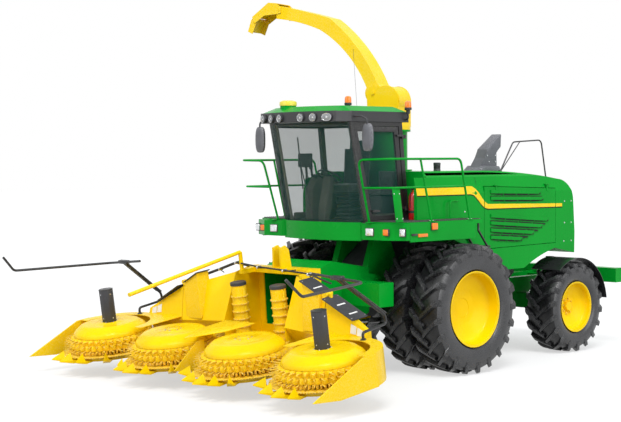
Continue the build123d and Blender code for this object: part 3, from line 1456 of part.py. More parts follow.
# Rotors: dome, stacked tooth rings and pocket belts on one drum
ROTOR_SHAFT = 100.0
ROTOR_SHEET = 15.0
RINGS = (
    # level of the ring's top, tooth tip radius, root radius, thickness
    (-165, 690, 590, 12),
    (-240, 715, 600, 12),
    (-315, 735, 610, 12),
    (-395, ROTOR_RADIUS, 660, 10),
)


def tooth_ring(v, level, tip, root, thickness, teeth):
    step = 2 * pi / teeth
    points = []
    for index in range(teeth):
        angle = index * step
        points.append((tip * cos(angle), tip * sin(angle)))
        points.append((root * cos(angle + step * 0.3), root * sin(angle + step * 0.3)))
        points.append((root * cos(angle + step * 0.75), root * sin(angle + step * 0.75)))
    with BuildPart() as ring:
        with BuildSketch(header_level(level, v)):
            with BuildLine():
                Polyline(*points, close=True)
            make_face()
        extrude(amount=-thickness)
    return ring.part


def rotor(v):
    with BuildPart() as drum:
        with BuildSketch(header_side(v)):
            with BuildLine():
                Polyline((0, 0), (420, 0), (500, -35), (545, -95), (545, -150), (0, -150), close=True)
            make_face()
        revolve(axis=Axis(header_point(0, v, 0), HEADER.z_dir))
        with BuildSketch(header_level(-150, v)):
            RegularPolygon(560, ROTOR_TEETH)
        extrude(amount=-(ROTOR_DEPTH - 150))
        for level, tip, root, thickness in RINGS:
            add(tooth_ring(v, level, tip, root, thickness, ROTOR_TEETH))
        # Hollow between the shaft and the sheet, open below
        with BuildSketch(header_side(v)):
            with BuildLine():
                Polyline(
                    (ROTOR_SHAFT, -ROTOR_SHEET),
                    (414, -ROTOR_SHEET),
                    (488, -48),
                    (528, -104),
                    (528, -160),
                    (540, -172),
                    (540, -ROTOR_DEPTH - 5),
                    (ROTOR_SHAFT, -ROTOR_DEPTH - 5),
                    close=True,
                )
            make_face()
        revolve(axis=Axis(header_point(0, v, 0), HEADER.z_dir), mode=Mode.SUBTRACT)
    return drum.part


ROTORS = (
    ("outer_left", 1.5 * ROTOR_PITCH),
    ("inner_left", 0.5 * ROTOR_PITCH),
    ("inner_right", -0.5 * ROTOR_PITCH),
    ("outer_right", -1.5 * ROTOR_PITCH),
)
POST_HEIGHT = 495.0
POST_WIDTH = 205.0
for rotor_name, rotor_v in ROTORS:
    keep(rotor(rotor_v), f"rotor_{rotor_name}")
    if rotor_name.startswith("outer"):
        with BuildPart() as rotor_post:
            with BuildSketch(header_level(0, rotor_v)):
                RegularPolygon(POST_WIDTH / 2, 8, major_radius=False, rotation=22.5)
            extrude(amount=POST_HEIGHT)
        keep(rotor_post.part, f"rotor_post_{rotor_name[6:]}")

# Crop dividers: five pointed fingers below each rotor
FINGERS = (
    # forward and outward reach of the tip from the rotor's shaft
    (650, -670),
    (890, -300),
    (960, 0),
    (920, 260),
    (720, 440),
)
FINGER_TIP_W = -388.0
PAN_TOP = -ROTOR_DEPTH - FACE_GAP
PAN = 25.0
FIN_WIDTH = 96.0
FIN_HEIGHT = 130.0


def finger(v, reach_u, reach_v):
    length = hypot(reach_u, reach_v)
    direction = HEADER.x_dir * (reach_u / length) + Vector(0, reach_v / length, 0)
    with BuildPart() as blade:
        for distance, width, low, high in (
            (ROTOR_RADIUS - 190, 150, PAN_TOP - PAN, PAN_TOP - 4),
            (ROTOR_RADIUS + 18, 105, PAN_TOP - PAN, PAN_TOP + 14),
            (length, 8, FINGER_TIP_W - 5, FINGER_TIP_W + 5),
        ):
            origin = header_point(0, v, 0) + direction * distance + HEADER.z_dir * ((low + high) / 2)
            with BuildSketch(Plane(origin=origin, x_dir=HEADER.z_dir, z_dir=direction)):
                Rectangle(high - low, width)
        loft(ruled=True)
        for distance, width, foot, peak in (
            (ROTOR_RADIUS + 22, FIN_WIDTH, PAN_TOP + 5, FIN_HEIGHT),
            (length - 6, 8, FINGER_TIP_W, 12),
        ):
            origin = header_point(0, v, 0) + direction * distance + HEADER.z_dir * foot
            with BuildSketch(Plane(origin=origin, x_dir=HEADER.z_dir, z_dir=direction)):
                with BuildLine():
                    Polyline((0, -width / 2), (0, width / 2), (peak, 0), close=True)
                make_face()
        loft(ruled=True)
    return blade.part


def pan(v_low, v_high, centres):
    """Skid pan below the rotors, with a rounded front under each of them."""
    with BuildPart() as skid:
        with BuildSketch(header_level(PAN_TOP)):
            with Locations((-330, (v_low + v_high) / 2)):
                Rectangle(860, abs(v_high - v_low))
            for centre in centres:
                with Locations((0, centre)):
                    Circle(ROTOR_RADIUS - 120)
        extrude(amount=-PAN)
    return skid.part


# Centre header frame: pan, inlet cheeks, rear frame, humps and the dividers
INLET_HALF = 640.0
HUMP_IN = 650.0
HUMP_OUT = FOLD_Y - 6.0
HUMP_SECTIONS = (
    # v, then rear low, rear top, front top and front foot as (u, w)
    (HUMP_IN, (-1080, -440), (-1260, 560), (-1180, 600), (-850, -60)),
    (HUMP_OUT, (-980, -440), (-1000, 420), (-870, 400), (-760, -90)),
)
TOWER_V = 75.0
GUARD_BAR_V = -500.0
REAR_PLATE = 20.0
INLET_TOP = 520.0
INLET_LOW = -250.0
FOLD_PIN = 18.0
FOLD_KNUCKLE = 34.0
# Places of the fold's knuckles along its pin: two on the centre frame, one on the wing
FOLD_U = (-965.0, -885.0)
FOLD_WING_U = -925.0
FOLD_LENGTH = 38.0


def fold_knuckle(u, v, side, towards):
    """A hinge knuckle on the fold axis with its block towards the frame or the wing."""
    with BuildPart() as knuckle_piece:
        start = header_point(u - FOLD_LENGTH / 2, v, FOLD_W)
        add(bar(start, start + HEADER.x_dir * FOLD_LENGTH, FOLD_KNUCKLE))
        middle = v + side * towards * 32.5
        with BuildSketch(Plane(origin=header_point(u, middle, 410), x_dir=HEADER.x_dir, z_dir=HEADER.z_dir)):
            Rectangle(FOLD_LENGTH, 65)
        extrude(amount=FOLD_W - 410 + 10)
        with BuildSketch(Plane(origin=header_point(u, middle + side * towards * 20, 350), x_dir=HEADER.x_dir, z_dir=HEADER.z_dir)):
            Rectangle(FOLD_LENGTH, 25)
        extrude(amount=80)
    return knuckle_piece.part


with BuildPart() as header_frame:
    add(pan(-FOLD_Y + 6, FOLD_Y - 6, (0.5 * ROTOR_PITCH, -0.5 * ROTOR_PITCH)))
    for side in (1, -1):
        for v, *corners in HUMP_SECTIONS:
            with BuildSketch(header_side(side * v)):
                with BuildLine():
                    Polyline(*corners, close=True)
                make_face()
        loft(ruled=True)
        with BuildSketch(header_side(side * (INLET_HALF + 10))):
            with BuildLine():
                Polyline((-850, PAN_TOP), (-850, -60), (-1180, 600), (-1500, 640), REAR_UPPER, REAR_LOWER, (-850, REAR_LOWER[1]), close=True)
            make_face()
        extrude(amount=10, both=True)
        with BuildSketch(header_side(side * TOWER_V)):
            with BuildLine():
                Polyline(
                    (-1620, 600), (-1600, 880), (-1540, 950), (-1440, 930), (-1410, 640), (-1440, 600), close=True
                )
            make_face()
        extrude(amount=15, both=True)
        for reach_u, reach_v in FINGERS:
            add(finger(side * 0.5 * ROTOR_PITCH, reach_u, side * reach_v))
    with BuildSketch(header_side(0)):
        with BuildLine():
            Polyline((rear_u(560), 560), REAR_UPPER, (-1500, 640), (-1400, 640), (-1400, 560), close=True)
        make_face()
    extrude(amount=INLET_HALF, both=True)
    with BuildSketch(header_side(GUARD_BAR_V)) as bar_arm:
        with BuildLine():
            Polyline((-1450, 560), (-1450, 640), (-1150, 640), (-1150, 580), close=True)
        make_face()
    extrude(amount=30, both=True)
    with BuildSketch(header_side(0)) as rear_plate:
        with BuildLine():
            Polyline(
                REAR_UPPER,
                REAR_LOWER,
                (REAR_LOWER[0] + REAR_PLATE, REAR_LOWER[1]),
                (REAR_UPPER[0] + REAR_PLATE, REAR_UPPER[1]),
                close=True,
            )
        make_face()
    extrude(amount=INLET_HALF + 20, both=True)
    with BuildSketch(header_side(0)):
        with Locations((-1600, (INLET_TOP + INLET_LOW) / 2)):
            Rectangle(200, INLET_TOP - INLET_LOW)
    extrude(amount=FEEDER_HALF_WIDTH - 30, both=True, mode=Mode.SUBTRACT)
    with BuildSketch(header_side(0)):
        with BuildLine():
            Polyline((rear_u(PAN_TOP), PAN_TOP), (-740, PAN_TOP), (-740, REAR_LOWER[1]), REAR_LOWER, close=True)
        make_face()
    extrude(amount=INLET_HALF + 20, both=True)
    with BuildSketch(header_side(0)):
        with BuildLine():
            Polyline((648, -366), (200, -60), (80, -60), (80, PAN_TOP - PAN), (400, PAN_TOP - PAN), close=True)
        make_face()
    extrude(amount=6, both=True)
    for side in (1, -1):
        for fold_u in FOLD_U:
            add(fold_knuckle(fold_u, side * FOLD_Y, side, -1))
        pin_start = header_point(FOLD_U[0] - FOLD_LENGTH / 2, side * FOLD_Y, FOLD_W)
        add(bar(pin_start, pin_start + HEADER.x_dir * (FOLD_U[1] - FOLD_U[0] + FOLD_LENGTH), FOLD_PIN))
    add(bar(header_point(-1181, GUARD_BAR_V, 898), header_point(868, GUARD_BAR_V, 697), 28))
    add(bar(header_point(-1181, GUARD_BAR_V, 600), header_point(-1181, GUARD_BAR_V, 898), 30))
keep(header_frame.part, "header_frame")

# Feed drums that turn the crop into the inlet
DRUM_U = -1010.0
DRUM_V = 420.0
DRUM_RADIUS = 110.0
DRUM_BORE = 92.0
DRUM_CAP = 15.0
DRUM_TIP = 200.0
DRUM_LOW = PAN_TOP + FACE_GAP
DRUM_TOP = 500.0
DRUM_RINGS = 7
for side_name, side in (("left", 1), ("right", -1)):
    with BuildPart() as feed_drum:
        drum_origin = header_point(DRUM_U, side * DRUM_V, DRUM_LOW)
        with BuildSketch(Plane(origin=drum_origin, x_dir=HEADER.x_dir, z_dir=HEADER.z_dir)):
            RegularPolygon(DRUM_RADIUS, 12)
        extrude(amount=DRUM_TOP - DRUM_LOW)
        for index in range(DRUM_RINGS):
            level = DRUM_LOW + 60 + index * 110
            points = []
            for tooth in range(8):
                angle = tooth * pi / 4
                points.append((DRUM_TIP * cos(angle), DRUM_TIP * sin(angle)))
                points.append((DRUM_RADIUS * cos(angle + pi / 7), DRUM_RADIUS * sin(angle + pi / 7)))
            ring_origin = header_point(DRUM_U, side * DRUM_V, level)
            with BuildSketch(Plane(origin=ring_origin, x_dir=HEADER.x_dir, z_dir=HEADER.z_dir)):
                with BuildLine():
                    Polyline(*points, close=True)
                make_face()
            extrude(amount=12)
        bore_start = header_point(DRUM_U, side * DRUM_V, DRUM_LOW - 5)
        with BuildSketch(Plane(origin=bore_start, x_dir=HEADER.x_dir, z_dir=HEADER.z_dir)):
            Circle(DRUM_BORE)
        extrude(amount=DRUM_TOP - DRUM_LOW - DRUM_CAP + 5, mode=Mode.SUBTRACT)
    keep(feed_drum.part, f"feed_drum_{side_name}")

# Folding wings: pan, deck round the outer rotor, side snoot and fingers
DECK_TOP = -35.0
DECK_INNER = 600.0
WALL_RADIUS = 752.0
WALL = 12.0
WING_HUMP = (
    # v, then rear low, rear top, front top and front foot as (u, w)
    (FOLD_Y + 6.0, (-980, -440), (-1000, 420), (-870, 400), (-760, -90)),
    (2300.0, (-850, -440), (-860, 30), (-800, 30), (-765, -60)),
)


def wing_pan(side):
    """A wing's skid pan: round under its rotor, with arms to the fold and to the side plate."""
    centre = 1.5 * ROTOR_PITCH
    fold = FOLD_Y + 6
    with BuildPart() as skid:
        with BuildSketch(header_level(PAN_TOP)):
            with Locations((0, side * centre)):
                Circle(WALL_RADIUS + WALL)
            with Locations((500, side * centre)):
                Rectangle(1000, 2000, mode=Mode.SUBTRACT)
            with Locations((0, side * (fold - 500))):
                Rectangle(2000, 1000, mode=Mode.SUBTRACT)
            with Locations((0, side * centre)):
                Circle(ROTOR_RADIUS - 120)
            with Locations((-330, side * (fold + centre) / 2)):
                Rectangle(860, centre - fold)
            with Locations((-30, side * 2830)):
                Rectangle(260, 380)
        extrude(amount=-PAN)
    return skid.part


for side_name, side in (("left", 1), ("right", -1)):
    with BuildPart() as wing:
        add(wing_pan(side))
        for v, *corners in WING_HUMP:
            with BuildSketch(header_side(side * v)):
                with BuildLine():
                    Polyline(*corners, close=True)
                make_face()
        loft(ruled=True)
        with BuildSketch(header_level(PAN_TOP, side * 1.5 * ROTOR_PITCH)) as skirt:
            Circle(WALL_RADIUS + WALL)
            Circle(WALL_RADIUS, mode=Mode.SUBTRACT)
            with Locations((-600, side * 400)):
                Rectangle(1200, 800, mode=Mode.INTERSECT)
        extrude(amount=DECK_TOP - PAN_TOP)
        with BuildSketch(header_level(DECK_TOP - SHEET, side * 1.5 * ROTOR_PITCH)) as deck:
            Circle(WALL_RADIUS + WALL)
            with Locations((-230, -side * 370)):
                Rectangle(1130, 744)
            Circle(DECK_INNER, mode=Mode.SUBTRACT)
            with Locations((-400, 0)):
                Rectangle(800, 1490, mode=Mode.INTERSECT)
        extrude(amount=SHEET)
        snoot_v = side * (1.5 * ROTOR_PITCH + ROTOR_RADIUS + 15)
        with BuildSketch(header_side(snoot_v)):
            with BuildLine():
                Polyline((978, -377), (60, DECK_TOP), (-160, DECK_TOP), (-160, PAN_TOP - PAN), (520, PAN_TOP - PAN), close=True)
            make_face()
        extrude(amount=-side * 20)
        for reach_u, reach_v in FINGERS[:-1]:
            add(finger(side * 1.5 * ROTOR_PITCH, reach_u, side * reach_v))
        add(fold_knuckle(FOLD_WING_U, side * FOLD_Y, side, 1))
        pin_start = header_point(FOLD_U[0], side * FOLD_Y, FOLD_W)
        pin_end = header_point(FOLD_U[1], side * FOLD_Y, FOLD_W)
        add(bar(pin_start, pin_end, FOLD_PIN + PIN_GAP), mode=Mode.SUBTRACT)
    keep(wing.part, f"wing_{side_name}")

# Stalk guides: bent black tubes standing on the wings, as (u, v, w)
GUIDE_TUBE = 19.0
GUIDE_STAY = ((-640, 2360, DECK_TOP), (-640, 2360, 60), (-1096, 2360, 82), (-1080, 2360, 200), (-392, 2260, 822))
GUIDE_LOOP = ((-367, 1830, 861), (-417, 2680, 784), (1007, 3070, 928), (1186, 3020, 1163))
for side_name, side in (("left", 1), ("right", -1)):
    with BuildPart() as stalk_guide:
        for run in (GUIDE_STAY, GUIDE_LOOP):
            path = [header_point(u, side * v, w) for u, v, w in run]
            add(tube([(point.X - FRONT_AXLE_X, point.Y, point.Z) for point in path], GUIDE_TUBE))
    keep(stalk_guide.part, f"stalk_guide_{side_name}")

# Lift cylinders between the front axle and the feeder house
LIFT_SHARE = 0.62
lift_ends = []
for side in (1, -1):
    base = Vector(FRONT_AXLE_X + LIFT_BASE[0], side * LIFT_CYLINDER_Y, LIFT_BASE[1])
    eye = Vector(FRONT_AXLE_X + LIFT_EYE[0], side * LIFT_CYLINDER_Y, LIFT_EYE[1])
    lift_ends.append((base, eye))
PIN_AXIS = Vector(0, 1, 0)
with BuildPart() as lift_barrels:
    for base, eye in lift_ends:
        add(
            barrel(
                base,
                eye,
                PIN_AXIS,
                LIFT_BARREL_RADIUS,
                LIFT_ROD_RADIUS,
                LIFT_SHARE,
                260,
                LIFT_EYE_RADIUS,
                LIFT_EYE_HALF,
                LIFT_PIN,
            )
        )
keep(lift_barrels.part, "lift_barrels")
with BuildPart() as lift_rods:
    for base, eye in lift_ends:
        add(
            rod(
                base, eye, PIN_AXIS, LIFT_ROD_RADIUS, LIFT_SHARE, 200, LIFT_EYE_RADIUS, LIFT_EYE_HALF, LIFT_PIN
            )
        )
keep(lift_rods.part, "lift_rods")
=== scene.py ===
"""Looks of the forage harvester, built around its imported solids."""

import bpy
import bmesh
import json
from math import cos, pi, radians, sin, tan
from mathutils import Matrix, Vector

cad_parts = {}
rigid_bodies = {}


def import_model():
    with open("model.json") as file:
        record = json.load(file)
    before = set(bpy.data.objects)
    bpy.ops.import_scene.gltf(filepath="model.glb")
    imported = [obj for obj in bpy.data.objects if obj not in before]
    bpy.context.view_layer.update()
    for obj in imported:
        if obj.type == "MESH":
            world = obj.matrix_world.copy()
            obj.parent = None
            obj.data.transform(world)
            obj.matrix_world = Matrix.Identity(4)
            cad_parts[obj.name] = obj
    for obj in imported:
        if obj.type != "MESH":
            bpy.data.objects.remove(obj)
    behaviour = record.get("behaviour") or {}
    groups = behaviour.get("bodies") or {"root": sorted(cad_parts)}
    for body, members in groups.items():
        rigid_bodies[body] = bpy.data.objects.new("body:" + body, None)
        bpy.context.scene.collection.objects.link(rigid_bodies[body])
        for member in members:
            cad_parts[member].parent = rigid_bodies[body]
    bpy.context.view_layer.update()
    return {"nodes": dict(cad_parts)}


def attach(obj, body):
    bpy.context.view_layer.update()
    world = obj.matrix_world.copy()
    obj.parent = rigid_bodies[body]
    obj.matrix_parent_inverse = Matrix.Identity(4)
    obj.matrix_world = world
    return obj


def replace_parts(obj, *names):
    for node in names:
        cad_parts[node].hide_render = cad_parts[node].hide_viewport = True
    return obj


for spare in list(bpy.data.objects):
    bpy.data.objects.remove(spare)
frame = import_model()
nodes = frame["nodes"]
scene = bpy.context.scene
scene.view_settings.view_transform = "Standard"

# Places: x counts from the front axle, (u, v, w) is the header's frame, (s, z) the spout's
AX = -0.2835
TILT = radians(8.0)
HEADER_U = Vector((cos(TILT), 0, -sin(TILT)))
HEADER_W = Vector((sin(TILT), 0, cos(TILT)))
HEADER_O = Vector((AX + 3.564, 0, 0.766))
HEADING = radians(75.0)
SPOUT_S = Vector((cos(HEADING), -sin(HEADING), 0))
SPOUT_Y = Vector((sin(HEADING), cos(HEADING), 0))
SPOUT_O = Vector((AX - 0.1, 0, 0))
X, Y, Z = Vector((1, 0, 0)), Vector((0, 1, 0)), Vector((0, 0, 1))
HEADER_AXES = (HEADER_U, Y, HEADER_W)
SIDES = (("left", 1), ("right", -1))
WHEELBASE = 3.05
FRONT_RADIUS, FRONT_WIDTH, FRONT_RIM = 0.955, 0.53, 0.557
REAR_RADIUS, REAR_WIDTH, REAR_RIM = 0.735, 0.56, 0.409
GUARD_RADIUS = 0.782
FRONT_TRACKS = (0.955, 1.585)
REAR_TRACK = 1.17
DRUM_PITCH = 1.507
PHOTO_WIDTH = 621
FOCAL_PIXELS = 1435.67
SENSOR = 36.0


def at(x, y, z):
    return Vector((AX + x, y, z))


def hd(u, v, w):
    return HEADER_O + HEADER_U * u + Y * v + HEADER_W * w


def sp(s, z, off=0.0):
    return SPOUT_O + SPOUT_S * s + SPOUT_Y * off + Z * z


# Camera at the photograph's place
def make_camera():
    eye = Vector((16.2085 + AX, 15.1483, 3.1217))
    yaw, pitch, roll = radians(-134.007), radians(-1.971), radians(-0.397)
    look = Vector((cos(pitch) * cos(yaw), cos(pitch) * sin(yaw), sin(pitch)))
    level = look.cross(Z).normalized()
    above = level.cross(look)
    right = level * cos(roll) + above * sin(roll)
    up = level * -sin(roll) + above * cos(roll)
    data = bpy.data.cameras.new("camera")
    data.sensor_width = SENSOR
    data.lens = FOCAL_PIXELS / PHOTO_WIDTH * SENSOR
    data.clip_end = 400.0
    camera = bpy.data.objects.new("camera", data)
    rows = Matrix((right, up, -look)).transposed().to_4x4()
    camera.matrix_world = Matrix.Translation(eye) @ rows
    scene.collection.objects.link(camera)
    scene.camera = camera


make_camera()


# Materials
def feed(tree, node, inputs):
    """Sets each socket to its number, or links it to its source."""
    for socket, value in inputs.items():
        if hasattr(value, "links"):
            tree.links.new(value, node.inputs[socket])
        else:
            node.inputs[socket].default_value = value
    return node


def add_node(tree, kind, inputs=None, **settings):
    node = tree.nodes.new("ShaderNode" + kind)
    for key, value in settings.items():
        setattr(node, key, value)
    return feed(tree, node, inputs or {})


def empty_tree(owner):
    owner.use_nodes = True
    owner.node_tree.nodes.clear()
    return owner.node_tree


def node_material(name):
    material = bpy.data.materials.new(name)
    tree = empty_tree(material)
    shader = add_node(tree, "BsdfPrincipled")
    add_node(tree, "OutputMaterial", {0: shader.outputs[0]})
    return material, tree, shader, add_node(tree, "TexCoord").outputs["Object"]


def noise(tree, coords, scale, detail=3.0, stretch=None):
    if stretch:
        coords = add_node(tree, "Mapping", {0: coords, "Scale": stretch}).outputs[0]
    return add_node(tree, "TexNoise", {"Scale": scale, "Detail": detail, "Vector": coords}).outputs["Fac"]


def spread(tree, value, low, high, from_low=0.3, from_high=0.7):
    sockets = {"Value": value, "From Min": from_low, "From Max": from_high, "To Min": low, "To Max": high}
    return add_node(tree, "MapRange", sockets).outputs[0]


def mix(tree, factor, one, other):
    return add_node(tree, "Mix", {0: factor, 6: one, 7: other}, data_type="RGBA").outputs[2]


def maths(tree, operation, one, other=0.0):
    return add_node(tree, "Math", {0: one, 1: other}, operation=operation).outputs[0]


def shade(colour, amount):
    return (*[min(1.0, c * amount) for c in colour], 1.0)


def add_relief(tree, shader, height, strength, distance):
    relief = add_node(tree, "Bump", {"Height": height, "Strength": strength, "Distance": distance})
    feed(tree, shader, {"Normal": relief.outputs[0]})
    return relief


def surface(name, colour, rough=0.4, metal=0.0, coat=0.0, vary=0.1, scale=2.0, rough_vary=0.1,
            bump=0.05, bump_scale=180.0, bump_depth=0.001, edge=0.0, wear=None, alpha=1.0, glow=0.0,
            stretch=None, soften=0.0, second=None, mask=None, level=0.35):
    """Uneven colour and roughness, a fine relief, and lighter worn edges."""
    material, tree, shader, coords = node_material(name)
    cloud = noise(tree, coords, scale, 4.0)
    tint = mix(tree, spread(tree, cloud, 0.0, 1.0), shade(colour, 1 - vary), shade(colour, 1 + vary * 0.5))
    if second:
        tint = mix(tree, mask(tree, coords), tint, (*second, 1.0))
    if edge > 0:
        geometry = add_node(tree, "NewGeometry")
        ridge = spread(tree, geometry.outputs["Pointiness"], 0.0, 1.0, 0.52, 0.6)
        broken = spread(tree, noise(tree, coords, 60.0, 5.0), 0.0, edge, 0.45, 0.65)
        tint = mix(tree, maths(tree, "MULTIPLY", ridge, broken), tint,
                   (*(wear or shade(colour, 1.6)[:3]), 1.0))
    patch = noise(tree, coords, scale * 6, 5.0)
    feed(tree, shader, {
        "Base Color": tint, "Roughness": spread(tree, patch, max(0.02, rough - rough_vary),
                                                rough + rough_vary),
        "Metallic": metal, "Specular IOR Level": level, "Coat Weight": coat, "Coat Roughness": 0.12,
        "Alpha": alpha,
    })
    if glow > 0:
        feed(tree, shader, {"Emission Color": (*colour, 1.0), "Emission Strength": glow})
    relief = add_relief(tree, shader, noise(tree, coords, bump_scale, 3.0, stretch), bump, bump_depth)
    if soften > 0:
        bevel = add_node(tree, "Bevel", {"Radius": soften}, samples=4)
        feed(tree, relief, {"Normal": bevel.outputs[0]})
    return material


GREEN_RGB = (0.001, 0.31, 0.024)
YELLOW_RGB = (0.92, 0.61, 0.001)
GREEN = surface("green_paint", GREEN_RGB, 0.22, coat=0.03, level=0.08, vary=0.12, scale=0.9, bump=0.06,
                bump_scale=260, soften=0.005)
YELLOW = surface("yellow_paint", YELLOW_RGB, 0.3, coat=0.03, level=0.1, vary=0.08, scale=1.4, bump=0.06,
                 bump_scale=260, edge=0.5, wear=(0.95, 0.72, 0.15), soften=0.004)
YELLOW_TEETH = surface("yellow_teeth", (0.86, 0.55, 0.003), 0.4, coat=0.02, level=0.12, vary=0.12,
                       scale=6.0, bump=0.1, bump_scale=120, edge=0.7, wear=(0.92, 0.78, 0.35))
BLACK = surface("black_paint", (0.016, 0.016, 0.017), 0.38, coat=0.2, vary=0.25, edge=0.6,
                wear=(0.12, 0.12, 0.12), soften=0.003)
CHARCOAL = surface("charcoal_plastic", (0.04, 0.041, 0.046), 0.48, vary=0.15, bump=0.16, bump_scale=900,
                   edge=0.4)
GREY = surface("grey_steel", (0.135, 0.14, 0.155), 0.45, metal=0.35, vary=0.18, scale=4.0, bump=0.12,
               bump_scale=90, edge=0.5, wear=(0.45, 0.45, 0.47))
CAST = surface("cast_metal", (0.085, 0.088, 0.092), 0.62, metal=0.4, vary=0.25, scale=9.0, bump=0.35,
               bump_scale=140)
STEEL = surface("bright_steel", (0.62, 0.63, 0.65), 0.22, metal=1.0, vary=0.06, bump=0.05, bump_scale=400,
                stretch=(1, 1, 0.08))
CHROME = surface("lamp_reflector", (0.88, 0.89, 0.9), 0.14, metal=1.0, vary=0.05, bump=0.35, bump_scale=70,
                 bump_depth=0.004)
RUBBER = surface("tyre_rubber", (0.0065, 0.0068, 0.0078), 0.36, level=0.42, vary=0.3, scale=7.0,
                 rough_vary=0.14, bump=0.3, bump_scale=220, edge=0.8, wear=(0.075, 0.076, 0.08))
SIDEWALL = surface("tyre_sidewall", (0.017, 0.0175, 0.02), 0.32, level=0.7, vary=0.35, scale=10.0,
                   rough_vary=0.16, bump=0.25, bump_scale=150, stretch=(1, 0.1, 1))
HOSE = surface("hose_rubber", (0.03, 0.032, 0.034), 0.5, vary=0.2, scale=20, bump=0.5, bump_scale=500)
GLASS = surface("window_glass", (0.016, 0.085, 0.07), 0.05, vary=0.03, rough_vary=0.02, bump=0.01,
                bump_scale=3, alpha=0.23, level=0.2)
LENS = surface("lamp_lens", (0.85, 0.88, 0.9), 0.06, vary=0.03, bump=0.3, bump_scale=60, bump_depth=0.003,
               alpha=0.28)
# Amber with a faint painted glow, also on the side reflector, which is no lamp
AMBER = surface("amber_plastic", (0.88, 0.2, 0.004), 0.2, coat=0.6, vary=0.12, scale=30, bump=0.4,
                bump_scale=120, bump_depth=0.002, glow=0.12)
RED = surface("red_plastic", (0.62, 0.012, 0.012), 0.22, coat=0.6, vary=0.12, scale=20, bump=0.3,
              bump_scale=150)
WHITE = surface("white_plate", (0.78, 0.78, 0.76), 0.35, vary=0.05, bump=0.05, bump_scale=200)
TRIM = surface("cab_trim", (0.105, 0.095, 0.08), 0.62, vary=0.12, scale=6, bump=0.3, bump_scale=700)
PALE_TRIM = surface("pale_trim", (0.3, 0.27, 0.2), 0.6, vary=0.1, scale=5, bump=0.3, bump_scale=700)
BAND = surface("roof_band", (0.032, 0.033, 0.036), 0.4, coat=0.15, vary=0.12, scale=3, bump=0.1,
               bump_scale=600, soften=0.012)
# Near black: seams and the monitor face, and painted shade in the louvre slots, the exhaust mouth and under
# the hood stripe
DARK_AND_SHADE = surface("dark_and_painted_shade", (0.006, 0.008, 0.007), 0.8, vary=0.3, scale=12, bump=0.2, bump_scale=80)
RECEIVER = surface("receiver_yellow", (0.8, 0.66, 0.05), 0.3, coat=0.4, vary=0.06, bump=0.05,
                   bump_scale=200)
INSIDE = surface("cab_interior", (0.05, 0.047, 0.043), 0.6, vary=0.15, scale=5, bump=0.25, bump_scale=500)


def weave_material():
    """Seat cloth: a woven relief with a fine two-tone thread."""
    material, tree, shader, coords = node_material("seat_fabric")
    wave = []
    for direction in ("X", "Y"):
        texture = add_node(tree, "TexWave", {"Scale": 110.0, "Distortion": 0.6, "Vector": coords},
                           bands_direction=direction)
        wave.append(texture.outputs["Fac"])
    weave = maths(tree, "MULTIPLY", wave[0], wave[1])
    cloud = noise(tree, coords, 14.0, 4.0)
    base = mix(tree, spread(tree, cloud, 0, 1), (0.02, 0.021, 0.022, 1), (0.036, 0.037, 0.039, 1))
    tint = mix(tree, weave, base, (0.085, 0.086, 0.088, 1))
    feed(tree, shader, {"Base Color": tint, "Roughness": 0.85, "Sheen Weight": 0.35})
    add_relief(tree, shader, weave, 0.4, 0.002)
    return material


FABRIC = weave_material()


def grating_material():
    """Walkway plate: rows of raised cleats."""
    material, tree, shader, coords = node_material("walkway_grating")
    sockets = {"Scale": 14.0, "Mortar Size": 0.035, "Mortar Smooth": 0.4, "Vector": coords}
    cleats = add_node(tree, "TexBrick", sockets).outputs["Fac"]
    tint = mix(tree, cleats, (0.02, 0.021, 0.022, 1), (0.1, 0.1, 0.1, 1))
    feed(tree, shader, {"Base Color": tint, "Roughness": 0.55})
    add_relief(tree, shader, cleats, 0.8, 0.006)
    return material


GRATING = grating_material()


def radius_mask(x, z, radius):
    """1 outside a cylinder across the machine."""
    def made(tree, coords):
        split = add_node(tree, "SeparateXYZ", {0: coords})
        dx = maths(tree, "SUBTRACT", split.outputs[0], AX + x)
        dz = maths(tree, "SUBTRACT", split.outputs[2], z)
        squares = maths(tree, "ADD", maths(tree, "MULTIPLY", dx, dx), maths(tree, "MULTIPLY", dz, dz))
        return maths(tree, "GREATER_THAN", squares, radius * radius)
    return made


KNUCKLE = surface("knuckle_and_guard", GREEN_RGB, 0.34, coat=0.3, vary=0.12, soften=0.004,
                  second=(0.018, 0.018, 0.02), mask=radius_mask(-WHEELBASE, REAR_RADIUS, GUARD_RADIUS))


# Mesh building
class Shape:
    """Collects vertices and faces, each face with its material's place in a list."""

    def __init__(self):
        self.verts, self.faces, self.slots, self.used = [], [], [], []

    def add(self, part, material):
        verts, faces = part
        if material not in self.used:
            self.used.append(material)
        slot = self.used.index(material)
        start = len(self.verts)
        self.verts += [Vector(v) for v in verts]
        self.faces += moved_faces(faces, start)
        self.slots += [slot] * len(faces)
        return self

    def make(self, name, body, slot, angle=38.0):
        mesh = bpy.data.meshes.new(name)
        mesh.from_pydata(self.verts, [], self.faces)
        for material in self.used:
            mesh.materials.append(material)
        mesh.polygons.foreach_set("material_index", self.slots)
        work = bmesh.new()
        work.from_mesh(mesh)
        bmesh.ops.recalc_face_normals(work, faces=work.faces)
        work.to_mesh(mesh)
        work.free()
        for polygon in mesh.polygons:
            polygon.use_smooth = True
        mesh.set_sharp_from_angle(angle=radians(angle))
        piece = bpy.data.objects.new(name, mesh)
        scene.collection.objects.link(piece)
        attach(piece, body)
        return piece


def turned(part, matrix):
    verts, faces = part
    return [matrix @ Vector(v) for v in verts], faces


def from_bmesh(work):
    work.verts.ensure_lookup_table()
    verts = [v.co.copy() for v in work.verts]
    faces = [tuple(v.index for v in f.verts) for f in work.faces]
    work.free()
    return verts, faces


def axes_matrix(origin, x_axis, y_axis, z_axis):
    return Matrix.Translation(Vector(origin)) @ Matrix((x_axis, y_axis, z_axis)).transposed().to_4x4()


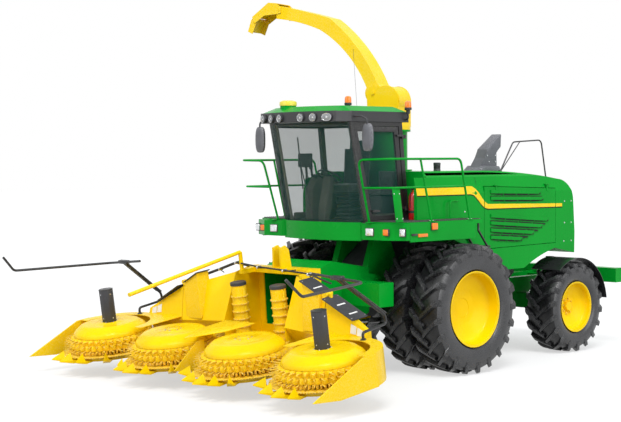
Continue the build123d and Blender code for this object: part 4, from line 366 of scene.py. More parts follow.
def block(centre, size, bevel=0.004, axes=(X, Y, Z), segments=2):
    """A box with rounded edges, along the given axes."""
    work = bmesh.new()
    bmesh.ops.create_cube(work, size=1.0)
    for v in work.verts:
        v.co = Vector((v.co.x * size[0], v.co.y * size[1], v.co.z * size[2]))
    if bevel > 0:
        bmesh.ops.bevel(work, geom=work.edges[:], offset=min(bevel, min(size) * 0.45), segments=segments,
                        profile=0.5, affect="EDGES")
    return turned(from_bmesh(work), axes_matrix(centre, *axes))


def prism(outline, origin, x_axis, y_axis, depth, bevel=0.0):
    """A flat outline in the plane of two axes, given a thickness along their normal."""
    normal = x_axis.cross(y_axis)
    work = bmesh.new()
    low = [work.verts.new((a, b, 0)) for a, b in outline]
    high = [work.verts.new((a, b, depth)) for a, b in outline]
    work.faces.new(low[::-1])
    work.faces.new(high)
    count = len(outline)
    for i in range(count):
        j = (i + 1) % count
        work.faces.new((low[i], low[j], high[j], high[i]))
    if bevel > 0:
        bmesh.ops.bevel(work, geom=work.edges[:], offset=bevel, segments=2, profile=0.5, affect="EDGES")
    return turned(from_bmesh(work), axes_matrix(origin, x_axis, y_axis, normal))


def lathe(profile, origin, axis, segments=48, closed=False, caps=True):
    """A profile of (radius, height) turned about an axis."""
    axis = axis.normalized()
    side = axis.cross(X if abs(axis.x) < 0.7 else Y).normalized()
    other = axis.cross(side)
    verts, faces = [], []
    count = len(profile)
    for i in range(segments):
        angle = 2 * pi * i / segments
        out = side * cos(angle) + other * sin(angle)
        for radius, height in profile:
            verts.append(Vector(origin) + out * radius + axis * height)
    for i in range(segments):
        j = (i + 1) % segments
        for k in range(count if closed else count - 1):
            n = (k + 1) % count
            faces.append((i * count + k, j * count + k, j * count + n, i * count + n))
    if caps and not closed:
        for k in (0, count - 1):
            if profile[k][0] > 1e-5:
                faces.append([i * count + k for i in range(segments)])
    return verts, faces


def ring_faces(rings, count):
    """Quads between successive rings of points, and a cap on the last ring."""
    faces = []
    for i in range(rings - 1):
        for k in range(count):
            n = (k + 1) % count
            faces.append((i * count + k, i * count + n, (i + 1) * count + n, (i + 1) * count + k))
    faces.append([(rings - 1) * count + k for k in range(count)])
    return faces


def moved_faces(faces, start):
    """The same faces over vertices that begin at another place in the list."""
    return [tuple(start + k for k in face) for face in faces]


def rounded_path(points, radius):
    """The points with each corner turned into an arc."""
    steps = 6
    points = [Vector(p) for p in points]
    path = [points[0]]
    for before, here, after in zip(points, points[1:], points[2:]):
        one, two = (before - here), (after - here)
        turn = one.angle(two)
        if turn > pi - 0.02:
            path.append(here)
            continue
        reach = min(radius / tan(turn / 2), one.length * 0.45, two.length * 0.45)
        start, end = here + one.normalized() * reach, here + two.normalized() * reach
        for i in range(steps + 1):
            t = i / steps
            path.append(start * (1 - t) ** 2 + here * 2 * t * (1 - t) + end * t * t)
    path.append(points[-1])
    return path


def pipe(points, radius, corner=0.1, segments=12):
    """A round tube along points with rounded corners."""
    path = rounded_path(points, corner) if corner > 0 else [Vector(p) for p in points]
    verts = []
    side = (path[1] - path[0]).normalized().orthogonal().normalized()
    for i, point in enumerate(path):
        if 0 < i < len(path) - 1:
            along = ((path[i + 1] - point).normalized() + (point - path[i - 1]).normalized()).normalized()
        else:
            along = (path[1] - path[0] if i == 0 else path[-1] - path[-2]).normalized()
        side = (side - along * side.dot(along)).normalized()
        other = along.cross(side)
        for k in range(segments):
            angle = 2 * pi * k / segments
            verts.append(point + (side * cos(angle) + other * sin(angle)) * radius)
    return verts, ring_faces(len(path), segments) + [list(range(segments))[::-1]]


def tube(points, radius, corner=0.1, segments=12, side=1):
    """A round tube through points (x, y, z) counted from the front axle, or through their mirror image."""
    return pipe([at(x, side * y, z) for x, y, z in points], radius, corner, segments)


def bolt(origin, axis, radius, height):
    """A hexagon head on its washer."""
    verts, faces = lathe([(radius * 1.35, 0), (radius * 1.35, height * 0.25),
                          (radius * 1.05, height * 0.25)],
                         origin, axis, 12)
    head = lathe([(radius, height * 0.2), (radius, height * 0.9), (radius * 0.85, height),
                  (0.0001, height)],
                 origin, axis, 6)
    start = len(verts)
    return verts + head[0], faces + moved_faces(head[1], start)


def add_bolts(shape, spots, axis, radius, height):
    for spot in spots:
        shape.add(bolt(spot, axis, radius, height), STEEL)


def add_blocks(shape, rows, side=1):
    """Blocks from rows of (place, size, bevel, material), or their mirror image."""
    for (x, y, z), size, bevel, material in rows:
        shape.add(block(at(x, side * y, z), size, bevel), material)


def use(material, *names):
    for name in names:
        slots = nodes[name].material_slots
        if len(slots) == 0:
            nodes[name].data.materials.append(material)
        for place in slots:
            place.material = material


use(GREEN, "main_frame", "rear_axle", "hood", "hood_door_left", "hood_door_right",
    "front_panel", "cab_roof", "walkways", "handrails", "spout_chute", "feeder_house")
use(YELLOW, "spout_turret", "spout_boom", "spout_flap", "spout_tip", "header_frame", "wing_left",
    "wing_right")
use(BLACK, "cab_frame", "cab_door", "ladder", "stalk_guide_left", "stalk_guide_right", "lift_barrels",
    "spout_cylinder")
use(CAST, "engine", "front_axle")
use(INSIDE, "cab_floor")
use(BAND, "cab_roof_band")
use(GLASS, "cab_glass", "cab_door_glass")
use(STEEL, "lift_rods", "spout_rod")
use(KNUCKLE, "rear_knuckle_left", "rear_knuckle_right")
use(CHARCOAL, "mirrors", "extinguisher", "rotor_post_left", "rotor_post_right", "chopper_housing")
use(GREY, "exhaust_stack")


# Tyres: rounded carcass with curved chevron lugs
def tyre_shape(radius, width, rim_radius, pairs, lean, centre):
    half = width / 2
    bead = rim_radius - 0.02
    crown = radius - 0.05
    shape = Shape()
    section = [
        (bead, -half + 0.07), (bead + 0.018, -half + 0.05), (bead + 0.04, -half + 0.04),
        (bead + 0.048, -half + 0.028), (bead + (crown - bead) * 0.3, -half + 0.008),
        (bead + (crown - bead) * 0.52, -half + 0.002), (crown - 0.085, -half + 0.01),
        (crown - 0.042, -half + 0.026), (crown - 0.012, -half + 0.075), (crown - 0.004, -half * 0.35),
    ]
    profile = section + [(crown, 0.0)] + [(r, -y) for r, y in reversed(section)]
    shape.add(lathe(profile[7:-7], centre, Y, 72, caps=False), RUBBER)
    for wall in (profile[:8], profile[-8:]):
        shape.add(lathe(wall, centre, Y, 72, caps=False), SIDEWALL)
    step = 2 * pi / pairs
    steps = 7
    verts, faces = [], []
    for side in (1, -1):
        for index in range(pairs):
            # The lugs of the two halves stand half a step apart
            base_angle = index * step + (step / 2 if side < 0 else 0) - pi / 2
            start = len(verts)
            for i in range(steps + 1):
                t = i / steps
                # Across the tread, then down the shoulder
                if t < 0.78:
                    across = side * (-0.018 + (half - 0.02) * t / 0.78)
                    drop = 0.006 * (t / 0.78) ** 2
                else:
                    across = side * (half - 0.038 + 0.034 * ((t - 0.78) / 0.22) ** 0.6)
                    drop = 0.006 + 0.115 * ((t - 0.78) / 0.22) ** 1.5
                turn = lean * (half * min(t, 0.9) / 0.9) / radius * (1.12 - 0.12 * t)
                angle = base_angle + turn
                top = radius - drop
                low = crown - 0.014 - drop * 0.9
                thick_top = (0.026 + 0.014 * t) / radius
                thick_low = (0.04 + 0.018 * t) / radius
                # The lug stands square to the tread, and leans out over the shoulder
                out_y = side * 0.004 if t < 0.8 else side * 0.004 * (1 - t) / 0.2
                for height, thick in ((low, -thick_low), (top, -thick_top), (top, thick_top),
                                      (low, thick_low)):
                    a = angle + thick
                    inset = 0 if height == top else -out_y
                    verts.append(centre + Vector((cos(a) * height, across + inset, sin(a) * height)))
            faces += moved_faces(ring_faces(steps + 1, 4) + [range(4)], start)
    shape.add((verts, faces), RUBBER)
    return shape


def merge(target, other):
    start = len(target.verts)
    for material in other.used:
        if material not in target.used:
            target.used.append(material)
    target.verts += other.verts
    target.faces += moved_faces(other.faces, start)
    target.slots += [target.used.index(other.used[s]) for s in other.slots]
    return target


def rim_shape(rim_radius, width, dish, hub_radius, centre, side, bolts):
    """A pressed rim with stepped seat, dished disc, hub and its ring of nuts."""
    half = width / 2 - 0.032
    seat = rim_radius - 0.024
    outline = [
        (rim_radius - 0.01, -half + 0.012), (rim_radius, -half + 0.008), (rim_radius, -half),
        (seat, -half + 0.002),
        (seat - 0.012, -half + 0.03), (seat - 0.016, dish - 0.1), (seat - 0.045, dish - 0.055),
        (seat - 0.06, dish - 0.04), (hub_radius + 0.075, dish - 0.045), (hub_radius + 0.045, dish - 0.062),
        (hub_radius, dish - 0.062), (hub_radius * 0.62, dish - 0.06), (0.0001, dish - 0.058),
        (0.0001, dish - 0.046), (hub_radius * 0.6, dish - 0.046), (hub_radius * 0.62, dish - 0.04),
        (hub_radius, dish - 0.04), (hub_radius + 0.05, dish - 0.028), (hub_radius + 0.085, dish - 0.01),
        (seat - 0.075, dish + 0.01), (seat - 0.045, dish + 0.03), (seat - 0.026, dish + 0.06),
        (seat - 0.026, half - 0.1), (seat - 0.012, half - 0.06), (seat - 0.01, half - 0.016),
        (seat, half - 0.01),
        (rim_radius - 0.006, half - 0.008), (rim_radius, half - 0.004), (rim_radius, half),
        (rim_radius - 0.012, half + 0.001),
        (seat + 0.002, half - 0.002), (seat - 0.002, half - 0.016), (seat, -half + 0.016),
    ]
    shape = Shape()
    shape.add(lathe(outline, centre, Y * side, 72, closed=True), YELLOW)
    if bolts == 0:
        return shape
    for i in range(bolts):
        angle = 2 * pi * i / bolts + 0.2
        spot = centre + Vector((cos(angle), 0, sin(angle))) * (hub_radius * 0.8) + Y * side * (dish - 0.04)
        shape.add(bolt(spot, Y * side, 0.017, 0.026), YELLOW_TEETH)
    shape.add(lathe([(hub_radius * 0.5, dish - 0.046), (hub_radius * 0.5, dish + 0.008),
                     (hub_radius * 0.44, dish + 0.016),
                     (0.0001, dish + 0.016)], centre, Y * side, 40), YELLOW)
    return shape


FRONT_AXLE = at(0, 0, FRONT_RADIUS)
REAR_AXLE = at(-WHEELBASE, 0, REAR_RADIUS)
for side_name, side in SIDES:
    body = f"front_wheels_{side_name}"
    tyres = Shape()
    for track in FRONT_TRACKS:
        merge(tyres, tyre_shape(FRONT_RADIUS, FRONT_WIDTH, FRONT_RIM, 21, 0.92,
                                FRONT_AXLE + Y * side * track))
    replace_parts(tyres.make(f"front_treads_{side_name}", body, "tyre_rubber"), f"front_tyres_{side_name}")
    rims = Shape()
    for track in FRONT_TRACKS:
        merge(rims, rim_shape(FRONT_RIM, FRONT_WIDTH, 0.02, 0.23, FRONT_AXLE + Y * side * track, side, 0))
    rims.add(lathe([(0.19, 0.661), (0.19, 1.535)], FRONT_AXLE, Y * side, 40), YELLOW)
    rims.add(pipe([FRONT_AXLE + Vector((0.4, side * 1.64, -0.3)),
                   FRONT_AXLE + Vector((0.405, side * 1.7, -0.305))],
                  0.008, 0), STEEL)
    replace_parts(rims.make(f"front_discs_{side_name}", body, "yellow_paint"), f"front_rims_{side_name}")
    body = f"rear_wheel_{side_name}"
    centre = REAR_AXLE + Y * side * REAR_TRACK
    tyre = tyre_shape(REAR_RADIUS, REAR_WIDTH, REAR_RIM, 18, 0.86, centre)
    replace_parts(tyre.make(f"rear_tread_{side_name}", body, "tyre_rubber"), f"rear_tyre_{side_name}")
    rear = rim_shape(REAR_RIM, REAR_WIDTH, 0.09, 0.15, centre, side, 8)
    rear.add(lathe([(0.125, 0.966), (0.125, 1.2)], REAR_AXLE, Y * side, 32), YELLOW)
    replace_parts(rear.make(f"rear_disc_{side_name}", body, "yellow_paint"), f"rear_rim_{side_name}")


# Rotors: smooth dome, two belts of folded pockets, layers of hook teeth, an upright rack and the fine knife
POCKETS = 36
KNIFE_TEETH = 120
RACK_TEETH = 72


def rotor_shape(v):
    shape = Shape()
    origin = hd(0, v, 0)
    dome = [(0.0001, 0.0), (0.16, 0.0), (0.17, -0.006), (0.32, -0.004), (0.415, -0.003), (0.432, -0.01),
            (0.505, -0.062), (0.535, -0.092), (0.545, -0.108), (0.552, -0.145), (0.548, -0.156),
            (0.5, -0.16)]
    shape.add(lathe(dome[::-1], origin, HEADER_W, 72), YELLOW)
    shape.add(lathe([(0.5, -0.425), (0.5, -0.158)], origin, HEADER_W, 48), YELLOW_TEETH)

    def place(radius, angle, w):
        return origin + (HEADER_U * cos(angle) + Y * sin(angle)) * radius + HEADER_W * w

    # Folded pockets: alternating peaks and valleys in each belt
    count = POCKETS
    for top, low, peak in ((-0.16, -0.238, 0.612), (-0.238, -0.318, 0.63)):
        verts, faces = [], []
        shift = 0.5 if top < -0.2 else 0.0
        for i in range(count):
            angle = 2 * pi * (i + shift) / count
            step = 2 * pi / count
            verts += [
                place(peak - 0.072, angle - step / 2, top), place(peak - 0.072, angle + step / 2, top),
                place(peak - 0.072, angle + step / 2, low), place(peak - 0.072, angle - step / 2, low),
                place(peak, angle, (top + low) / 2), place(peak - 0.024, angle, top + 0.004),
                place(peak - 0.024, angle, low - 0.004),
            ]
            n = i * 7
            faces += [(n, n + 5, n + 4), (n + 5, n + 1, n + 4), (n + 1, n + 2, n + 4),
                      (n + 2, n + 6, n + 4),
                      (n + 6, n + 3, n + 4), (n + 3, n, n + 4), (n, n + 1, n + 5), (n + 3, n + 6, n + 2)]
        shape.add((verts, faces), YELLOW)
    # Hook teeth in layers, each a flat curved claw
    for level, tip in ((-0.178, 0.69), (-0.24, 0.712), (-0.312, 0.73)):
        verts, faces = [], []
        for i in range(count):
            angle = 2 * pi * (i + 0.3) / count
            outline = [(0.545, -0.03), (0.6, -0.022), (tip - 0.02, 0.014), (tip, 0.03), (tip - 0.03, 0.022),
                       (0.605, 0.006), (0.545, 0.02)]
            start = len(verts)
            for offset in (0.0, -0.007):
                for radius, arc in outline:
                    verts.append(place(radius, angle + arc / radius, level + offset))
            sides = len(outline)
            faces += moved_faces(ring_faces(2, sides) + [range(sides)], start)
        shape.add((verts, faces), YELLOW_TEETH)
    # Fine saw knife at the bottom
    verts, faces = [], []
    for i in range(KNIFE_TEETH):
        angle = 2 * pi * i / KNIFE_TEETH
        step = 2 * pi / KNIFE_TEETH
        base = len(verts)
        for w in (-0.38, -0.388):
            verts += [place(0.55, angle, w), place(0.7, angle, w), place(0.733, angle + step * 0.65, w),
                      place(0.7, angle + step, w), place(0.55, angle + step, w)]
        faces += [tuple(base + k for k in (0, 1, 2, 3, 4)), tuple(base + k for k in (9, 8, 7, 6, 5)),
                  (base + 1, base + 6, base + 7, base + 2), (base + 2, base + 7, base + 8, base + 3)]
    shape.add((verts, faces), YELLOW_TEETH)
    shape.add(lathe([(0.5, -0.428), (0.655, -0.42), (0.665, -0.404), (0.62, -0.392), (0.5, -0.39)], origin,
                    HEADER_W, 48), YELLOW_TEETH)
    add_bolts(shape, [place(0.11, 2 * pi * i / 6 + 0.4, 0.0) for i in range(6)], HEADER_W, 0.011, 0.012)
    # Upright rack between the pockets and the knife
    verts, faces = [], []
    for i in range(RACK_TEETH):
        angle = 2 * pi * i / RACK_TEETH
        base = len(verts)
        corners = ((-0.03, -0.322), (0.03, -0.322), (0.03, -0.372), (-0.03, -0.372))
        verts += [*[place(0.56, angle + turn, w) for turn, w in corners],
                  place(0.64, angle, -0.33), place(0.64, angle, -0.364)]
        faces += [(base, base + 1, base + 4), (base + 1, base + 2, base + 5, base + 4),
                  (base + 2, base + 3, base + 5), (base + 3, base, base + 4, base + 5)]
    shape.add((verts, faces), YELLOW_TEETH)
    shape.add(lathe([(0.085, 0.0), (0.085, 0.014), (0.075, 0.018), (0.0001, 0.018)], origin, HEADER_W, 32),
              YELLOW)
    return shape


for name, v in (("outer_left", 1.5), ("inner_left", 0.5), ("inner_right", -0.5), ("outer_right", -1.5)):
    piece = rotor_shape(v * DRUM_PITCH).make(f"tooth_drum_{name}", f"drum_{name}", "yellow_paint", 32.0)
    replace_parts(piece, f"rotor_{name}")
    if name.startswith("outer"):
        side_name = name[6:]
        post = Shape()
        ring = [(0.107 * cos(pi / 8 + k * pi / 4), 0.107 * sin(pi / 8 + k * pi / 4)) for k in range(8)]
        post.add(prism(ring, hd(0, v * DRUM_PITCH, 0.0), HEADER_U, Y, 0.49, 0.004), CHARCOAL)
        post.add(prism([(a * 1.03, b * 1.03) for a, b in ring], hd(0, v * DRUM_PITCH, 0.484), HEADER_U, Y,
                       0.01, 0.003), BLACK)
        for axis in (HEADER_U, Y):
            spots = [hd(0, v * DRUM_PITCH, w) + axis * 0.099 for w in (0.06, 0.42)]
            add_bolts(post, spots, axis, 0.007, 0.006)
        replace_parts(post.make(f"stalk_post_{side_name}", f"drum_{name}", "black_paint"),
                    f"rotor_post_{side_name}")


# Feed drums: capped tube with rings of curved teeth
for side_name, side in SIDES:
    drum = Shape()
    foot = hd(-1.01, side * 0.42, -0.428)
    drum.add(lathe([(0.11, 0.0), (0.11, 0.92)], foot, HEADER_W, 40), YELLOW)
    drum.add(lathe([(0.118, 0.88), (0.118, 0.918), (0.108, 0.927), (0.0001, 0.927)], foot, HEADER_W, 40),
             CHARCOAL)
    for index in range(7):
        level = 0.06 + index * 0.11
        drum.add(lathe([(0.11, level - 0.008), (0.126, level - 0.006), (0.126, level + 0.01),
                        (0.11, level + 0.012)],
                       foot, HEADER_W, 40), YELLOW_TEETH)
        for k in range(8):
            angle = k * pi / 4 + index * 0.26
            out = HEADER_U * cos(angle) + Y * sin(angle)
            along = HEADER_U * -sin(angle) + Y * cos(angle)
            drum.add(prism([(0.108, -0.05), (0.16, -0.036), (0.199, 0.014), (0.16, 0.02), (0.108, 0.05)],
                           foot + HEADER_W * (level - 0.004), out, along, 0.01), YELLOW_TEETH)
    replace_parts(drum.make(f"toothed_feed_drum_{side_name}", f"feed_{side_name}", "yellow_paint"),
                f"feed_drum_{side_name}")


# Hood stripe, louvres and seams
def skin_y(z):
    """Half width of the hood's side at a height."""
    return min(1.2, 1.23 - 0.24 * (z - 2.5)) if z > 2.5 else 1.2


def side_strip(points, side, lift=0.004, thick=0.003):
    """A thin band that lies on the hood's side: rows of (x, lower z, upper z)."""
    verts, faces = [], []
    for x, low, high in points:
        for depth in (lift, lift - thick):
            for z in (low, high):
                verts.append(at(x, side * (skin_y(z) + depth), z))
    count = len(points)
    for i in range(count - 1):
        a, b = i * 4, (i + 1) * 4
        faces += [(a, a + 1, b + 1, b), (a + 2, b + 2, b + 3, a + 3), (a, b, b + 2, a + 2),
                  (a + 1, a + 3, b + 3, b + 1)]
    faces += [(0, 2, 3, 1), (count * 4 - 4, count * 4 - 3, count * 4 - 1, count * 4 - 2)]
    return verts, faces


def stripe_rows(start, end, steps):
    """Rows of the stripe between two places along the hood."""
    rows = []
    for i in range(steps + 1):
        x = start + (end - start) * i / steps
        if x > -0.66:
            middle, half = 2.672, 0.06
        elif x > -1.05:
            t = (-0.66 - x) / 0.39
            ease = t * t * (3 - 2 * t)
            middle, half = 2.672 - 0.255 * ease, 0.06 + 0.014 * sin(pi * t) - 0.024 * ease
        else:
            middle, half = 2.417 - 0.014 * (-1.05 - x), 0.036 - 0.01 * (-1.05 - x) / 1.9
        rows.append((x, middle - half, middle + half))
    return rows


LOUVRE_X = -1.11
HOOD_BOLTS = ((-3.02, 2.45), (-3.02, 2.1), (-3.0, 1.8), (-3.2, 2.45), (-3.2, 2.1), (-3.2, 1.8),
              (-0.5, 2.35), (0.3, 2.35))
HANDLE = ((-0.09, 1.195, 2.24), (-0.09, 1.26, 2.24), (-0.09, 1.26, 2.52), (-0.3, 1.26, 2.52),
          (-0.3, 1.195, 2.52))
for side_name, side in SIDES:
    for label, body, start, end, steps in (("front", "machine", 0.578, -0.956, 24),
                                           ("middle", f"side_door_{side_name}", -0.972, -2.768, 24),
                                           ("rear", "machine", -2.784, -2.95, 2)):
        rows = stripe_rows(start, end, steps)
        band = Shape().add(side_strip(rows, side), YELLOW)
        # A dark band along the stripe's lower edge: a painted shadow under the stripe
        under = [(x, low - 0.016, low - 0.002) for x, low, high in rows]
        band.add(side_strip(under, side, 0.003), DARK_AND_SHADE)
        band.make(f"hood_stripe_{label}_{side_name}", body, "yellow_paint")
    # Louvre mouths: a dark strip of painted shade under each blade, where the slot's shade falls, with small
    # struts
    slots = Shape()
    for front_z, rear_x, rear_z in ((2.64, -2.38, 2.61), (2.59, -2.415, 2.56),
                                             (2.54, -2.45, 2.51), (2.27, -2.58, 2.17),
                                             (2.215, -2.5, 2.12), (2.16, -2.42, 2.07),
                                             (2.105, -2.31, 2.022), (2.05, -2.2, 1.975),
                                             (1.995, -2.05, 1.93), (1.94, -1.9, 1.885)):
        rows = []
        for i in range(9):
            t = i / 8
            x = LOUVRE_X + (rear_x - LOUVRE_X) * t
            z = front_z + (rear_z - front_z) * t
            taper = 1.0 - 0.5 * (abs(2 * t - 1) ** 6)
            rows.append((x, z - 0.014 - 0.038 * taper, z - 0.012))
        # The dark strip is painted shade in the slot
        slots.add(side_strip(rows, side, 0.003, 0.002), DARK_AND_SHADE)
        lip = [(x, low - 0.005, low + 0.001) for x, low, high in rows]
        slots.add(side_strip(lip, side, 0.008, 0.007), GREEN)
        for t in (0.25, 0.5, 0.75):
            x = LOUVRE_X + (rear_x - LOUVRE_X) * t
            z = front_z + (rear_z - front_z) * t - 0.04
            slots.add(block(at(x, side * (skin_y(z) + 0.004), z), (0.012, 0.008, 0.05), 0.002), GREEN)
    slots.make(f"louvre_painted_shade_{side_name}", f"side_door_{side_name}", "black_paint")
    seam = Shape()
    seam.add(side_strip([(-0.8, 2.74, 2.86), (-0.806, 2.74, 2.86)], side, 0.002, 0.001), DARK_AND_SHADE)
    add_bolts(seam, [at(x, side * 1.2, z) for x, z in HOOD_BOLTS], Y * side, 0.01, 0.007)
    # Grab handle by the stripe
    seam.add(tube(HANDLE, 0.011, 0.05, side=side), GREEN)
    seam.make(f"hood_fasteners_{side_name}", "machine", "green_paint")


# Exhaust: a folded duct with hard edges over a wide skirt, its mouth a dark sheet of painted shade
DUCT = ((-1.4, 2.943), (-1.6, 3.16), (-1.65, 3.3), (-2.016, 3.545), (-2.003, 3.336), (-1.875, 3.25),
        (-1.895, 3.05), (-1.9, 2.915))
SKIRT = ((-1.375, 2.945), (-1.5, 3.04), (-1.86, 3.03), (-1.93, 2.913))
stack = Shape()
stack.add(prism(DUCT[::-1], at(0, 0.7, 0), X, Z, 0.2, 0.012), GREY)
stack.add(prism(SKIRT[::-1], at(0, 0.785, 0), X, Z, 0.37, 0.014), GREY)
# A thin dark sheet across the duct's mouth: painted shade inside it
stack.add(block(at(-2.0105, 0.6, 3.44), (0.006, 0.15, 0.15), 0.002), DARK_AND_SHADE)
add_bolts(stack, [at(x, y, 2.985) for x in (-1.42, -1.9) for y in (0.44, 0.6, 0.76)], Z, 0.01, 0.008)
add_bolts(stack, [at(x, 0.7, z) for x, z in ((-1.66, 3.2), (-1.86, 3.2), (-1.7, 3.1), (-1.86, 3.1))], Y,
          0.009, 0.007)
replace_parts(stack.make("exhaust_duct", "machine", "grey_paint"), "exhaust_stack")
intake = Shape()
intake.add(lathe([(0.055, -0.03), (0.055, 0.02), (0.046, 0.035), (0.044, 0.075), (0.055, 0.082),
                  (0.057, 0.12),
                  (0.05, 0.128), (0.0001, 0.13)], at(-0.673, 0.5, 2.965), Z, 32), CHARCOAL)
for k in range(16):
    a = 2 * pi * k / 16
    intake.add(block(at(-0.673 + 0.048 * cos(a), 0.5 + 0.048 * sin(a), 3.022), (0.008, 0.008, 0.05), 0.001),
               BLACK)
intake.make("air_intake_cap", "machine", "dark_plastic")


# Mirrors and the rail over the hood
MIRROR_X, MIRROR_Y, MIRROR_Z = 1.545, 1.13, 3.46
MIRROR_POINTS = 24
glass_side = Shape()
for side in (1, -1):
    arm = [(MIRROR_X, y, z) for y, z in ((0.88, 3.76), (1.0, 3.765), (MIRROR_Y, 3.72),
                                         (MIRROR_Y, MIRROR_Z))]
    glass_side.add(tube(arm, 0.013, 0.06, side=side), CHARCOAL)
    # Rounded shell with the glass set in its rear
    outline = []
    for k in range(MIRROR_POINTS):
        a = 2 * pi * k / MIRROR_POINTS
        c, s = cos(a), sin(a)
        outline.append((0.098 * (abs(c) ** 0.6) * (1 if c > 0 else -1),
                        0.197 * (abs(s) ** 0.7) * (1 if s > 0 else -1)))
    verts = []
    layers = ((-0.02, 0.97), (-0.024, 1.0), (0.004, 1.0), (0.018, 0.86), (0.024, 0.5))
    for depth, grow in layers:
        for a, b in outline:
            verts.append(at(MIRROR_X + depth, side * (MIRROR_Y + a * grow), MIRROR_Z + b * grow))
    glass_side.add((verts, ring_faces(len(layers), MIRROR_POINTS)), GREY)
    glass_side.add((verts[:MIRROR_POINTS], [range(MIRROR_POINTS)]), CHROME)
rail = [(x, 1.0, z) for x, z in ((-1.6, 2.936), (-1.93, 3.41), (-2.66, 3.446), (-2.79, 2.821))]
glass_side.add(tube(rail, 0.012, 0.1), BLACK)
glass_side.add(tube([(-1.62, 1.0, 2.95), (-2.1, 1.0, 3.41)], 0.008, 0), BLACK)
for x, z in ((-1.6, 2.945), (-2.79, 2.83)):
    glass_side.add(lathe([(0.03, -0.012), (0.03, 0.01), (0.018, 0.024)], at(x, 1.0, z), Z, 16), BLACK)
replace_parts(glass_side.make("mirrors_and_hood_rail", "machine", "dark_plastic"), "mirrors")


# Handrails with rounded bends, their plate and feet
RAIL_Y = 1.54
FOOT_Z = 2.262
rails = Shape()
for side in (1, -1):
    top = [(1.33, 0.96, 2.225), (1.6, 1.0, 3.14), (1.56, RAIL_Y, 3.15), (0.0, RAIL_Y, 3.15),
           (-0.211, RAIL_Y, 2.245)]
    rails.add(tube(top, 0.017, 0.11, 14, side), GREEN)
    for run in (((1.482, 0.983, 2.74), (1.48, RAIL_Y, 2.745), (-0.094, RAIL_Y, 2.745)),
                ((0.65, RAIL_Y, 2.25), (0.88, RAIL_Y, 3.145))):
        rails.add(tube(run, 0.016, 0.06, 14, side), GREEN)
    for x in (0.65, -0.2):
        rails.add(block(at(x, side * RAIL_Y, 2.256), (0.1, 0.06, 0.012), 0.003), GREEN)
        add_bolts(rails, [at(x + dx, side * RAIL_Y, FOOT_Z) for dx in (-0.035, 0.035)], Z, 0.008, 0.008)
    rails.add(block(at(1.36, side * 1.0, 2.244), (0.1, 0.1, 0.012), 0.003), GREEN)
# Kick plate between the mid rail and the walkway at the front corner
rails.add(prism([(-0.155, 0.0), (0.0, 0.0), (0.075, 0.47), (-0.08, 0.47)], at(1.4, RAIL_Y, FOOT_Z), X, Z,
                0.006, 0.002),
          GREEN)
add_bolts(rails, [at(x, RAIL_Y, z) for x, z in ((1.26, 2.312), (1.38, 2.312), (1.44, 2.662),
                                                (1.33, 2.662))], Y, 0.008, 0.007)
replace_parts(rails.make("handrail_tubes", "machine", "green_paint"), "handrails")

# Walkway treads and the edge strip with its reflector
tread = Shape()
for side in (1, -1):
    plan = [(1.26, side * 0.87), (1.26, side * 1.2), (1.11, side * 1.535), (-0.46, side * 1.535),
            (-0.46, side * 1.215),
            (0.595, side * 1.215), (0.595, side * 0.87)]
    if side < 0:
        plan = plan[::-1]
    tread.add(prism([(AX + x, y) for x, y in plan], Vector((0, 0, 2.2505)), X, Y, 0.01, 0.002), GRATING)
    for k in range(34):
        tread.add(block(at(1.08 - k * 0.045, side * 1.543, 2.256), (0.022, 0.01, 0.016), 0.002, segments=1),
                  BLACK)
tread.make("walkway_treads", "machine", "black_paint")
# The amber of the side reflector glows faintly: painted light
marks = Shape()
for side in (1, -1):
    add_blocks(marks, (
        ((0.62, 1.572, 2.18), (0.115, 0.036, 0.095), 0.008, AMBER),
        ((0.62, 1.562, 2.18), (0.13, 0.018, 0.11), 0.004, BLACK),
        ((0.86, 1.562, 2.06), (0.2, 0.014, 0.045), 0.003, AMBER),
        ((1.04, 1.562, 2.075), (0.12, 0.02, 0.03), 0.003, BLACK),
    ), side)
marks.make("side_markers", "machine", "amber_plastic")


# Roof lamps: bezel, bowl, bulb and lens, the outer ones oval
def lamp(shape, centre, facing, radius, wide=1.0):
    side = Z.cross(facing).normalized()
    ring = 32

    def disc(profile, material):
        verts = []
        for r, h in profile:
            for k in range(ring):
                a = 2 * pi * k / ring
                verts.append(centre + side * cos(a) * r * wide + Z * sin(a) * r + facing * h)
        shape.add((verts, ring_faces(len(profile), ring)), material)

    disc([(radius * 1.12, -0.03), (radius * 1.12, 0.002), (radius * 1.02, 0.006), (radius * 0.99, 0.0)],
         CHARCOAL)
    disc([(radius * 0.99, 0.003), (radius * 0.8, -0.004), (radius * 0.45, -0.014), (radius * 0.2, -0.018)],
         CHROME)
    disc([(radius * 0.22, -0.012), (radius * 0.2, 0.002), (radius * 0.06, 0.006)], WHITE)
    disc([(radius * 1.0, 0.003), (radius * 0.85, 0.009), (radius * 0.45, 0.013), (radius * 0.1, 0.014)],
         LENS)


ROOF_LAMP_Z = 3.752
FENDER_LAMP_Z = 2.11
lamps = Shape()
for side in (1, -1):
    for lamp_y, reach, wide in ((0.22, 0.158, 1.0), (0.44, 0.122, 1.0), (0.672, 0.07, 1.35)):
        facing = Vector((1, side * lamp_y * 0.55, -0.12)).normalized()
        lamp(lamps, at(1.83 + reach, side * lamp_y, ROOF_LAMP_Z), facing, 0.056, wide)
    for x, y, wide in ((1.398, 1.01, 0.08), (1.268, 1.52, 0.05)):
        add_blocks(lamps, (
            ((x - 0.03, y, FENDER_LAMP_Z), (0.03, wide * 2, 0.12), 0.01, CHARCOAL),
            ((x - 0.018, y, FENDER_LAMP_Z), (0.018, wide * 1.75, 0.1), 0.012, CHROME),
            ((x - 0.006, y, FENDER_LAMP_Z), (0.012, wide * 1.8, 0.104), 0.012, LENS),
        ), side)
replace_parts(lamps.make("work_lamp_units", "machine", "clear_lamp"), "work_lamps")

